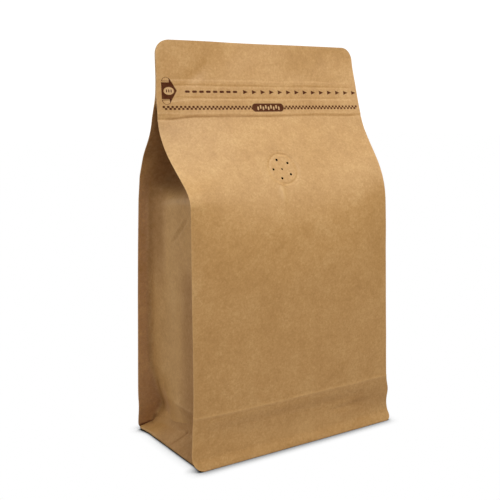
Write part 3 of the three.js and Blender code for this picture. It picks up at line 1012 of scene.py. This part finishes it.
def paper_material(scene, name):
    """Matte kraft paper with its fibres, rubbed creases with painted highlights, and painted shade in the
    folds.
    """
    if name in bpy.data.materials:
        return bpy.data.materials[name]
    look = scene.paper_look
    material, desk, shader = new_material(name)
    pulp = desk.group(fibre_group(), {"Grain": look.grain})
    wear_and_light = desk.group(wear_and_light_group(), PAPER_WEAR_AND_HIGHLIGHTS)
    painted_shade = [c * part for c, part in zip(look.shade, PAINTED_SHADE_TINT)]
    tone = desk.mix(wear_and_light.outputs["Faded"], colour(look.kraft), colour(look.faded))
    tone = desk.mix(pulp.outputs["Pale"], tone, colour(look.fibre))
    tone = desk.mix(pulp.outputs["Dark"], tone, colour(look.shade))
    tone = desk.mix(wear_and_light.outputs["Worn"], tone, colour(look.fibre))
    tone = desk.mix(wear_and_light.outputs["Tucked"], tone, colour(painted_shade))
    rough = desk.ramp(pulp.outputs["Pale"], 0, 1, *PAPER_ROUGH)
    rough = desk.math("MULTIPLY_ADD", wear_and_light.outputs["Tucked"], PAINTED_SHADE_ROUGH, rough)
    return finish_material(
        material, desk, shader, tone, rough, pulp.outputs["Height"], PAPER_RELIEF, PAPER_SHINE)


def ink_material(scene, name, tint, cover, shine=INK_SHINE):
    """Print on kraft paper: the fibres show through where the ink is thin."""
    if name in bpy.data.materials:
        return bpy.data.materials[name]
    look = scene.paper_look
    material, desk, shader = new_material(name)
    pulp = desk.group(fibre_group(), {"Grain": look.grain})
    thin = desk.math("MULTIPLY", pulp.outputs["Pale"], 1 - cover)
    tone = desk.mix(thin, colour(tint), colour(look.kraft))
    dark = desk.math("MULTIPLY", pulp.outputs["Dark"], INK_FIBRE)
    tone = desk.mix(dark, tone, colour([c * INK_FIBRE_TINT for c in tint]))
    rough = desk.ramp(pulp.outputs["Pale"], 0, 1, *INK_ROUGH)
    return finish_material(
        material, desk, shader, tone, rough, pulp.outputs["Height"], INK_RELIEF, shine)


def two_inks(scene):
    """The dark ink of the print and the pale one of its bare shapes."""
    look = scene.paper_look
    dark = ink_material(scene, "brown_ink", look.ink, DARK_COVER)
    return dark, ink_material(scene, "pale_ink", look.bare, PALE_COVER)


def panel_rows(form, columns, back=False):
    """Places across and heights of a panel's points, closer together round the valve."""
    z = section_heights(form, HEIGHT)[:, None]
    near = np.linspace(0, MIDDLE_FROM, columns[0])[1:-1]
    middle = np.linspace(MIDDLE_FROM, 1 - MIDDLE_FROM, columns[1])
    u = np.concatenate([[0, RIM_COLUMN], near, middle, 1 - near[::-1], [1 - RIM_COLUMN, 1]])[None, :]
    x = lerp(-form.tip(z, -1, back), form.tip(z, 1, back), u)
    return x, z * np.ones_like(x)


def panel_edges(form, x, z, back=False):
    """Mark of the rubbed paper along a panel's cut edges."""
    away = np.minimum(x + form.tip(z, -1, back), form.tip(z, 1, back) - x)
    return edge_mark(np.minimum(away, np.minimum(z, HEIGHT - z)))


def paper_piece(context, name, form, outer, inner, marks):
    """One sheet of the bag's paper from a grid of points."""
    paper = paper_material(context.scene, "bag_sheet")
    faces = grid_faces(*outer.shape[:2])
    settle(shell(name, form, outer, inner, faces, paper, marks), "bag")


class COFFEEBAG_OT_front_panel(bpy.types.Operator):
    """Front panel with its bands, creases, dents and the seat of the valve"""
    bl_idname = "coffee_bag.front_panel"
    bl_label = "Front Panel"

    def execute(self, context):
        form = BagForm(context.scene)
        x, z = panel_rows(form, FRONT_COLUMNS)
        y = form.front(x, z)
        seat = form.seat(x, z)
        inside = lerp(y + form.paper, form.seal(x, z) - SEAL_GAP, smooth(*PANELS_MEET, z))
        outer = np.stack([x, y + seat, z], -1)
        inner = np.stack([x, inside + seat, z], -1)
        crease = bump(form.crease_level(x, z, FOOT_CREASE), FOOT_CREASE_WEAR_AND_HIGHLIGHT)
        # Marks: edge is rubbed paper, crease is rubbed paper and painted highlights, tuck is painted shade
        marks = {
            "edge": panel_edges(form, x, z),
            "crease": np.maximum(crease, strongest(FRONT_HIGHLIGHTS, x=x, z=z)),
            "tuck": np.maximum(self.zip_shade(x, z), strongest(FRONT_SHADES, x=x, z=z)),
        }
        paper_piece(context, "front_panel", form, outer, inner, marks)
        return {"FINISHED"}

    def zip_shade(self, x, z):
        """Shade in the crease under the zipper band, weaker on the right."""
        crease = bump(z - ZIP_SHADE["height"] + zip_dip(x), ZIP_SHADE["half"])
        fading = lerp(1, ZIP_SHADE["right"], smooth(*ZIP_SHADE["turn"], x))
        return ZIP_SHADE["strength"] * crease * fading * (1 - smooth(*ZIP_SHADE["ends"], np.abs(x)))


class COFFEEBAG_OT_back_panel(bpy.types.Operator):
    """Back panel, which swells a little in its middle"""
    bl_idname = "coffee_bag.back_panel"
    bl_label = "Back Panel"

    def execute(self, context):
        form = BagForm(context.scene)
        x, z = panel_rows(form, BACK_COLUMNS, back=True)
        y = form.back(x, z)
        inside = lerp(y - form.paper, form.seal(x, z) + SEAL_GAP, smooth(*PANELS_MEET, z))
        outer = np.stack([x, y, z], -1)
        inner = np.stack([x, inside, z], -1)
        paper_piece(context, "back_panel", form, outer, inner, {"edge": panel_edges(form, x, z, back=True)})
        return {"FINISHED"}


class COFFEEBAG_OT_gussets(bpy.types.Operator):
    """Two side gussets: flanges in the fins and a wall that folds in above the shoulder"""
    bl_idname = "coffee_bag.gussets"
    bl_label = "Gussets"

    def execute(self, context):
        form = BagForm(context.scene)
        rows = section_heights(form, GUSSET_TOP)
        thick = form.paper - GUSSET_LIFT
        for side, name in ((-1, "left_gusset"), (1, "right_gusset")):
            x, y = form.gusset(rows, side)
            z = rows[:, None] * np.ones_like(x) + GUSSET_LIFT
            run = np.gradient(np.stack([x, y], -1), axis=1)
            run /= np.maximum(np.linalg.norm(run, axis=-1, keepdims=True), 1e-9)
            outer = np.stack([side * x, y, z], -1)
            inner = np.stack([side * (x - run[..., 1] * thick), y + run[..., 0] * thick, z], -1)
            places = {"x": x, "y": y, "z": z, "out": x - profile(GUSSET_SEAM, z)}
            # Marks: crease is painted highlights, tuck is painted shade, the third is a painted cooler tint
            # on the back fins
            tuck = np.maximum(self.slit_shade(x, y, z), strongest(GUSSET_SHADES, **places))
            marks = {
                "crease": strongest(GUSSET_HIGHLIGHTS, **places),
                "tuck": tuck,
                "faded": patch(*BACK_FIN_SHADE_TINT, **places),
            }
            paper_piece(context, name, form, outer, inner, marks)
        return {"FINISHED"}

    def slit_shade(self, x, y, z):
        """Shade of the slit between the skirt and the back fin."""
        out = smooth(SKIRT_SLIT["start"], SKIRT_SLIT["end"], x)
        low, high = (lerp(a, b, out) for a, b in zip(SLIT_SHADE["start"], SLIT_SHADE["end"]))
        return (1 - smooth(low, high, z)) * smooth(*SLIT_SHADE["behind"], y)


class COFFEEBAG_OT_foot_skirts(bpy.types.Operator):
    """Skirt at the foot of each gusset, which curves out of the wall down to the floor"""
    bl_idname = "coffee_bag.foot_skirts"
    bl_label = "Foot Skirts"

    def execute(self, context):
        form = BagForm(context.scene)
        for side, name in ((-1, "left_foot_skirt"), (1, "right_foot_skirt")):
            t = np.linspace(0, 1, SKIRT_COLUMNS)[None, :]
            x, z, lift = self.section(form, t)
            up = np.linspace(0, 1, len(z))[:, None]
            rise, *middle = SKIRT_SWELL
            sink, *end = SKIRT_SINK
            x = x + rise * smooth(*middle, up) - sink * smooth(*end, up)
            slit = (x - SKIRT_SLIT["start"]) / (SKIRT_SLIT["end"] - SKIRT_SLIT["start"])
            slit = SKIRT_SLIT["width"] * np.clip(slit, 0, 1)
            clear = 2 * form.paper + SKIRT_CLEAR
            low = form.front_form(side * x, z) + clear
            high = form.back_form(side * x, z) - clear - slit
            y = lerp(low, high, t)
            fold, relief = self.crease(y, z)
            height, *fade = SKIRT_WAVER
            soft = height * (1 - smooth(*fade, up)) * waves(y, SKIRT_WAVE_STEEP * z, "skirt", side)
            x = x + relief + soft
            outer = np.stack([side * x, y, z], -1)
            inner = np.stack([side * (x - SKIRT_PAPER), y, z], -1)
            # Painted shade, darker towards the front and in the crease, carried by the mark tuck
            shade = sum(patch(*mark, y=y) for mark in SKIRT_SHADES) + SKIRT_CREASE["shade"] * fold
            marks = {"edge": edge_mark(z - lift + SKIRT_RIM["high"]), "tuck": shade}
            paper_piece(context, name, form, outer, inner, marks)
        return {"FINISHED"}

    def section(self, form, t):
        """Distance out and height of the skirt's rows, rim first, and the lift of its edge."""
        back, tip = smooth(*SKIRT_BACK, t), smooth(SKIRT_TIP["from"], 1, t)
        floor, lift = SKIRT_EDGE + SKIRT_TIP["out"] * tip, SKIRT_LIFT + SKIRT_TIP["up"] * tip
        bend, inside = lerp(*SKIRT_BEND, back), lerp(*SKIRT_INSIDE, back)
        rim = np.linspace(1, 0, SKIRT_ROWS["rim"] + 1)[:-1, None]
        slope = np.linspace(0, 1, SKIRT_ROWS["slope"])[:, None]
        tuck = np.linspace(0, 1, SKIRT_ROWS["wall"] + 1)[1:, None]
        z = np.concatenate([
            lift - SKIRT_RIM["high"] * rim, lerp(lift, bend, slope), bend + SKIRT_TUCK * tuck])
        x = form.wall(2 * t - 1, z, profile(GUSSET_SEAM, z))
        x[:len(rim)] = floor - SKIRT_RIM["in"] * rim
        x[len(rim):len(rim) + len(slope)] = lerp(floor, inside, slope)
        for _ in range(SKIRT_ROUNDING):
            x[1:-1] = (x[:-2] + 2 * x[1:-1] + x[2:]) / 4
            z[1:-1] = (z[:-2] + 2 * z[1:-1] + z[2:]) / 4
        return x, z, lift

    def crease(self, y, z):
        """Slanting crease of the skirt: how far a point is in it, and how it moves the paper."""
        fold = SKIRT_CREASE
        line = ((y - fold["floor"]) * fold["steep"] + z) / math.hypot(fold["steep"], 1)
        reach = smooth(*fold["low"], z) * (1 - smooth(*fold["high"], z))
        sunk = bump(line, fold["half"]) * reach
        ridge = bump(line - fold["ridge_at"], fold["ridge_half"]) * reach
        return sunk, fold["ridge"] * ridge - fold["depth"] * sunk


class COFFEEBAG_OT_base(bpy.types.Operator):
    """Base panel between the four walls, a little above the floor"""
    bl_idname = "coffee_bag.base"
    bl_label = "Base"

    def execute(self, context):
        form = BagForm(context.scene)
        edge, start = BASE_EDGE
        near = np.linspace(0, edge, BASE_ROWS["edge"])
        middle = np.linspace(start, 1 - start, BASE_ROWS["middle"])
        t = np.concatenate([near, middle, 1 - near[::-1]])[:, None]
        u = np.linspace(-1, 1, BASE_COLUMNS)[None, :]
        x = u * BASE_HALF_WIDTH + 0 * t
        clear = BASE_CLEAR * form.paper
        y = lerp(form.front(x, 0 * x) + clear, form.back(x, 0 * x) - clear, t)
        rim = 1 - smooth(0, BASE_RIM["width"], np.minimum(t, 1 - t) * BASE_DEPTH)
        dome = np.sin(math.pi * t) * (1 - u**2)
        rise = BASE_LOW + BASE_RIM["rise"] * rim + BASE_DOME * dome
        rise = rise + BASE_WAVER * waves(x, y, "base") * dome
        outer = np.stack([x, y, np.maximum(rise, BASE_LOW)], -1)
        paper_piece(context, "base_panel", form, outer, outer + np.array([0, 0, form.paper]), {})
        return {"FINISHED"}


def ring(cx, cz, rx, rz, count=48, start=0.0):
    """Round or oval loop about a middle."""
    turn = start + np.linspace(0, 2 * math.pi, count, endpoint=False)
    return np.stack([cx + rx * np.cos(turn), cz + rz * np.sin(turn)], -1)


def stadium(left, right, low, high, count=24):
    """Outline with straight long sides and half round ends."""
    radius = min(right - left, high - low) / 2
    turn = np.linspace(0, math.pi, count)
    arc = np.stack([np.cos(turn), np.sin(turn)], -1) * radius
    if right - left > high - low:
        arc = arc @ np.array([[0, 1], [-1, 0]])
        start, end = (left + radius, (low + high) / 2), (right - radius, (low + high) / 2)
        return np.concatenate([arc + start, -arc + end])
    start, end = ((left + right) / 2, high - radius), ((left + right) / 2, low + radius)
    return np.concatenate([arc + start, -arc + end])


def inside_loops(points, loops):
    """True for points that lie in an odd number of the loops."""
    odd = np.zeros(len(points), bool)
    px, pz = points[:, 0], points[:, 1]
    for loop in loops:
        for (ax, az), (bx, bz) in zip(loop, np.roll(loop, -1, 0)):
            if az == bz:
                continue
            crossing = (az > pz) != (bz > pz)
            odd ^= crossing & (px < (bx - ax) * (pz - az) / (bz - az) + ax)
    return odd


def closer(loop, step):
    """The loop with points added so that none of its sides is longer than step."""
    points = []
    for a, b in zip(loop, np.roll(loop, -1, 0)):
        count = max(1, math.ceil(np.linalg.norm(b - a) / step))
        points += [a + (b - a) * i / count for i in range(count)]
    return np.array(points)


def join_loops(loops):
    """All points of the loops in one list, and the edges between them."""
    points, edges = [], []
    for loop in loops:
        start = len(points)
        points += list(loop)
        edges += [(start + i, start + (i + 1) % len(loop)) for i in range(len(loop))]
    return points, edges


def gaps(points, rim):
    """Distance of each point from the nearest point of the rim."""
    return np.array([np.min(np.hypot(*(rim - p).T)) for p in points])


def triangles(points, edges):
    """Flat triangles between points that keep the given edges."""
    made = delaunay_2d_cdt([Vector(p) for p in points], edges, [], 0, 1e-7)
    return np.array([tuple(v) for v in made[0]]), np.array([tuple(f) for f in made[2]])


def fill(loops, step):
    """Triangles that fill the space between loops, small enough to follow the paper."""
    loops = [closer(np.asarray(loop, float), step) for loop in loops]
    points, edges = join_loops(loops)
    low, high = np.min(points, 0), np.max(points, 0)
    axes = [np.arange(a + step / 2, b, step) for a, b in zip(low, high)]
    if all(len(axis) for axis in axes):
        free = np.stack(np.meshgrid(*axes), -1).reshape(-1, 2)
        free = free[inside_loops(free, loops)]
        points += list(free[gaps(free, np.array(points)) > step * FILL_CLEAR]) if len(free) else []
    corners, faces = triangles(points, edges)
    keep = inside_loops(corners[faces].mean(1), loops)
    return corners, faces[keep].tolist()


def printed(name, form, shapes, material, ink):
    """One printed piece from shapes, each a list of loops in x and z on the front."""
    points, faces = [], []
    for loops in shapes:
        corners, found = fill(loops, PRINT_STEP[name])
        faces += [tuple(i + len(points) for i in face) for face in found]
        points += list(corners)
    x, z = np.array(points).T
    outer = form.on_front(x, z, np.full(len(x), ink))
    inner = form.on_front(x, z, np.full(len(x), -INK_SUNK))
    settle(shell(name, form, outer, inner, faces, material), "bag")


class COFFEEBAG_OT_tear_print(bpy.types.Operator):
    """Printed pull tab, dashes and triangles of the tear strip"""
    bl_idname = "coffee_bag.tear_print"
    bl_label = "Tear Strip Print"

    def execute(self, context):
        form, sizes = BagForm(context.scene), context.scene.print_sizes
        dark, pale = two_inks(context.scene)
        ink = sizes.ink / MM
        tear = sizes.tear_height / MM
        hole = ring(*TAB_OVAL["middle"], *TAB_OVAL["hole"])
        printed("print_arrow", form, [[self.arrow(), hole]], dark, ink)
        printed("print_tab_outline", form, self.tab_ends(), dark, ink)
        oval = ring(*TAB_OVAL["middle"], *TAB_OVAL["pale"])
        printed("print_tab_oval", form, [[oval]], pale, ink * TAB_OVAL["ink"])
        grips = [
            [stadium(x - GRIPS["half"], x + GRIPS["half"], GRIPS["low"], GRIPS["high"], ROUND_END)]
            for x in GRIPS["places"]]
        printed("print_tab_grips", form, grips, dark, ink * TOP_INK)
        dashes = []
        for i in range(DASHES["count"]):
            left = DASHES["left"] + i * DASHES["pitch"]
            dashes.append([stadium(
                left, left + DASHES["length"], tear - DASHES["half"], tear + DASHES["half"], ROUND_END)])
        printed("print_dashes", form, dashes, dark, ink)
        row = []
        for i in range(sizes.triangles):
            left = sizes.triangle_left / MM - TRIANGLE["back"] + i * sizes.triangle_pitch / MM
            tip = (left + TRIANGLE["length"], tear)
            row.append([[(left, tear - TRIANGLE["half"]), tip, (left, tear + TRIANGLE["half"])]])
        printed("print_triangles", form, row, dark, ink)
        return {"FINISHED"}

    def arrow(self):
        """Outline of the arrow, from its tail round its point."""
        tail, neck, wing = ARROW["tail"], ARROW["neck"], ARROW["wing"]
        (low, high), (wing_low, wing_high) = ARROW["bar"], ARROW["wings"]
        return [(tail, low), (neck, low), (wing, wing_low), ARROW["tip"], (wing, wing_high),
                (neck, high), (tail, high)]

    def tab_ends(self):
        """The two ends of the tab's outline that show past the arrow, each a rim round a bare middle."""
        tab = stadium(TAB["left"], TAB["right"], TAB["low"], TAB["high"])
        rims = []
        for low, high in TAB_ENDS:
            loop = tab[(tab[:, 1] >= low) & (tab[:, 1] <= high)]
            middle = loop.mean(0)
            rims.append([loop, middle + (loop - middle) * TAB["bare"]])
        return rims


class COFFEEBAG_OT_zip_print(bpy.types.Operator):
    """Printed checker band over the zipper and the plain pill in its middle"""
    bl_idname = "coffee_bag.zip_print"
    bl_label = "Zipper Print"

    def execute(self, context):
        form, sizes = BagForm(context.scene), context.scene.print_sizes
        dark, pale = two_inks(context.scene)
        ink = sizes.ink / MM
        printed("print_checker", form, self.squares(sizes), dark, ink)
        printed("print_pill", form, [[stadium(**PILL)]], dark, ink)
        teeth = []
        for i in range(TEETH["count"]):
            x = TEETH["left"] + i * TEETH["pitch"]
            lift = TEETH["stagger"] if i % 2 else -TEETH["stagger"]
            teeth.append([stadium(x - TEETH["half"], x + TEETH["half"], TEETH["low"] + lift,
                                  TEETH["high"] + lift, ROUND_END)])
        printed("print_pill_teeth", form, teeth, pale, ink * TOP_INK)
        return {"FINISHED"}

    def squares(self, sizes):
        """Dark squares of the checker band, in a run on each side of the pill."""
        low, row, bleed = sizes.checker_low / MM, sizes.checker_row / MM, sizes.bleed / MM
        width = sizes.checker_pitch / MM / 2
        left_under, right_under = CHECKER_UNDER_PILL
        runs = (
            (sizes.checker_left / MM, PILL["left"] + left_under, 1),
            (PILL["right"] - right_under, sizes.checker_right / MM, 0),
        )
        squares = []
        for start, end, first in runs:
            for i in range(int((end - start) / width)):
                x, z = start + i * width, low + row * ((first + i) % 2)
                a, b, c, d = x - bleed, x + width + bleed, z - bleed, z + row + bleed
                squares.append([[(a, c), (b, c), (b, d), (a, d)]])
        return squares


class COFFEEBAG_OT_valve(bpy.types.Operator):
    """Valve plate with a pressed groove and pinholes, and the valve body behind it, near-black as painted
    shade in the pinholes
    """
    bl_idname = "coffee_bag.valve"
    bl_label = "Valve"

    def execute(self, context):
        form, sizes = BagForm(context.scene), context.scene.valve_sizes
        radius, pressed = sizes.radius / MM, sizes.groove_circle / MM
        local, faces = self.plate(self.pinholes(sizes), radius, pressed)
        x, z = form.on_valve(local)
        away = np.hypot(*local.T)
        lift = PLATE_LIFT - PLATE_RIM_DROP * smooth(pressed, radius, away)
        lift = lift - sizes.groove / MM * bump(away - pressed, GROOVE_HALF)
        lift = lift - sizes.dish / MM * np.clip(1 - (away / pressed) ** 2, 0, 1)
        outer, inner = form.on_front(x, z, lift), form.on_front(x, z, lift - PLATE_PAPER)
        paper = paper_material(context.scene, "valve_sheet")
        settle(shell("valve_plate", form, outer, inner, faces, paper), "valve")
        reach = pressed - VALVE_BODY["margin"]
        corners, found = fill([ring(0, 0, reach, reach, VALVE_BODY["sides"])], VALVE_BODY["step"])
        x, z = form.on_valve(corners)
        dome = VALVE_BODY["dome"] * (1 - (np.hypot(*corners.T) / radius) ** 2)
        top, bottom = (form.on_front(x, z, dome - VALVE_BODY[face]) for face in ("top", "bottom"))
        # Valve body in near-black, painted shade seen through the pinholes
        pinhole_shade = ink_material(context.scene, "valve_dark", context.scene.paper_look.pinhole_shade, 1, 0)
        settle(shell("valve_body", form, top, bottom, found, pinhole_shade), "valve")
        return {"FINISHED"}

    def pinholes(self, sizes):
        """Loops of the pinholes, the middle one first."""
        hole, circle = sizes.pinhole_radius / MM, sizes.pinhole_circle / MM
        middle = -sizes.pinhole_shift / MM
        small = hole * MIDDLE_PINHOLE
        loops = [ring(middle, 0, small, small, PINHOLE_SIDES)]
        for i in range(sizes.pinholes):
            turn = math.pi - i * 2 * math.pi / sizes.pinholes
            x, z = middle + circle * math.cos(turn), circle * math.sin(turn)
            loops.append(ring(x, z, hole, hole, PINHOLE_SIDES))
        return loops

    def plate(self, holes, radius, pressed):
        """Points and triangles of the round plate, with the pinholes left open."""
        points, edges = join_loops(holes)
        rim = np.array(points)
        rings = PLATE_RINGS
        radii = list(np.arange(rings["first"], pressed - rings["end"], rings["step"]))
        radii += list(np.linspace(pressed - rings["outer_from"], radius, rings["outer"]))
        for i, r in enumerate(radii):
            loop = ring(0, 0, r, r, PLATE_SIDES, (i % 2) * math.pi / PLATE_SIDES)
            if r < pressed - rings["coarse"]:
                loop = loop[gaps(loop, rim) > PINHOLE_CLEAR]
                loop = loop[~inside_loops(loop, holes)]
                loop = loop[::2]
            points += list(loop)
        local, faces = triangles(points, edges)
        return local, faces[~inside_loops(local[faces].mean(1), holes)].tolist()


class COFFEEBAG_OT_stage(bpy.types.Operator):
    """Pale floor, soft studio light and the camera"""
    bl_idname = "coffee_bag.stage"
    bl_label = "Stage"

    def execute(self, context):
        scene = context.scene
        look = scene.studio_look
        scene.view_settings.view_transform = "Standard"
        self.lay_floor(scene, look)
        self.fill_room(scene, look)
        for name, (place, wide, high, tint) in LIGHTS.items():
            lamp = bpy.data.lights.new(f"{name}_light", "AREA")
            lamp.shape = "RECTANGLE"
            lamp.size, lamp.size_y = wide, high
            lamp.energy, lamp.color = getattr(look, name), tint
            light = bpy.data.objects.new(f"{name}_light", lamp)
            light.location = place
            light.visible_camera = False
            light.rotation_euler = (LIGHT_AIM - light.location).to_track_quat("-Z", "Y").to_euler()
            scene.collection.objects.link(light)
        self.set_camera(scene, look)
        return {"FINISHED"}

    def set_camera(self, scene, look):
        """Camera before the left corner of the front, a little above the bag's middle."""
        lens = bpy.data.cameras.new("photo_camera")
        lens.sensor_width, lens.lens = SENSOR_WIDTH, look.lens
        lens.clip_start, lens.clip_end = CAMERA_REACH
        camera = bpy.data.objects.new("photo_camera", lens)
        camera.location = CAMERA_PLACE
        level = math.cos(CAMERA_PITCH)
        gaze = Vector((
            math.sin(CAMERA_YAW) * level, math.cos(CAMERA_YAW) * level, -math.sin(CAMERA_PITCH)))
        camera.rotation_euler = gaze.to_track_quat("-Z", "Y").to_euler()
        scene.collection.objects.link(camera)
        scene.camera = camera

    def lay_floor(self, scene, look):
        """Pale floor that glows white to the camera, with a soft shadow close to the bag painted from
        ambient occlusion.
        """
        mesh = bpy.data.meshes.new("floor")
        corners = [(x * FLOOR_HALF, y * FLOOR_HALF, -FLOOR_DROP)
                   for x, y in ((-1, -1), (1, -1), (1, 1), (-1, 1))]
        mesh.from_pydata(corners, [], [(0, 1, 2, 3)])
        material, desk, shader = new_material("pale_floor")
        shader.inputs["Base Color"].default_value = colour(look.floor)
        shader.inputs["Roughness"].default_value = FLOOR_ROUGH
        shader.inputs["Specular IOR Level"].default_value = 0.0
        near = desk.add(
            "ShaderNodeAmbientOcclusion", {"Distance": look.contact}, samples=CONTACT_SAMPLES)
        shade = desk.math("POWER", desk.ramp(near.outputs["AO"], *CONTACT_RAMP), CONTACT_FALL)
        glow = desk.add("ShaderNodeEmission", {"Color": WHITE, "Strength": shade})
        self.show_camera(desk, "Material Output", shader.outputs["BSDF"], glow.outputs["Emission"])
        mesh.materials.append(material)
        floor = bpy.data.objects.new("floor", mesh)
        scene.collection.objects.link(floor)
        floor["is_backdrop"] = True

    def fill_room(self, scene, look):
        """White surroundings that give only a little light of their own."""
        world = bpy.data.worlds.new("studio")
        world.use_nodes = True
        scene.world = world
        desk = NodeDesk(world.node_tree)
        room = world.node_tree.nodes["Background"]
        room.inputs["Color"].default_value = WHITE
        room.inputs["Strength"].default_value = look.ambient
        white = desk.add("ShaderNodeBackground", {"Color": WHITE, "Strength": ROOM_WHITE})
        self.show_camera(desk, "World Output", room.outputs["Background"], white.outputs["Background"])

    def show_camera(self, desk, output, lit, plain):
        """The plain shader for what the camera sees straight, and the lit one for everything else."""
        seen = desk.add("ShaderNodeLightPath")
        pick = desk.add("ShaderNodeMixShader", {0: seen.outputs["Is Camera Ray"], 1: lit, 2: plain})
        desk.tree.links.new(pick.outputs["Shader"], desk.tree.nodes[output].inputs["Surface"])


OPERATORS = (
    COFFEEBAG_OT_front_panel, COFFEEBAG_OT_back_panel, COFFEEBAG_OT_gussets,
    COFFEEBAG_OT_foot_skirts, COFFEEBAG_OT_base, COFFEEBAG_OT_tear_print, COFFEEBAG_OT_zip_print,
    COFFEEBAG_OT_valve, COFFEEBAG_OT_stage,
)
SETTINGS = {
    "bag_sizes": BagSizes, "print_sizes": PrintSizes, "valve_sizes": ValveSizes,
    "paper_look": PaperLook, "studio_look": StudioLook,
}


class COFFEEBAG_PT_sidebar(bpy.types.Panel):
    """Sizes, colours and pieces of the coffee bag"""
    bl_idname = "COFFEEBAG_PT_sidebar"
    bl_label = "Coffee Bag"
    bl_space_type = "VIEW_3D"
    bl_region_type = "UI"
    bl_category = "Coffee Bag"

    def draw(self, context):
        for key, group in SETTINGS.items():
            box = self.layout.box()
            box.label(text=key.replace("_", " ").title())
            for name in group.__annotations__:
                box.prop(getattr(context.scene, key), name)
        for operator in OPERATORS:
            self.layout.operator(operator.bl_idname)


def register():
    for group in SETTINGS.values():
        bpy.utils.register_class(group)
    for key, group in SETTINGS.items():
        setattr(bpy.types.Scene, key, PointerProperty(type=group))
    for made in (*OPERATORS, COFFEEBAG_PT_sidebar):
        bpy.utils.register_class(made)


def unregister():
    for made in reversed((*OPERATORS, COFFEEBAG_PT_sidebar)):
        bpy.utils.unregister_class(made)
    for key in SETTINGS:
        delattr(bpy.types.Scene, key)
    for group in SETTINGS.values():
        bpy.utils.unregister_class(group)


def main():
    register()
    bpy.ops.coffee_bag.front_panel()
    bpy.ops.coffee_bag.back_panel()
    bpy.ops.coffee_bag.gussets()
    bpy.ops.coffee_bag.foot_skirts()
    bpy.ops.coffee_bag.base()
    bpy.ops.coffee_bag.tear_print()
    bpy.ops.coffee_bag.zip_print()
    bpy.ops.coffee_bag.valve()
    bpy.ops.coffee_bag.stage()


if __name__ == "__main__":
    main()
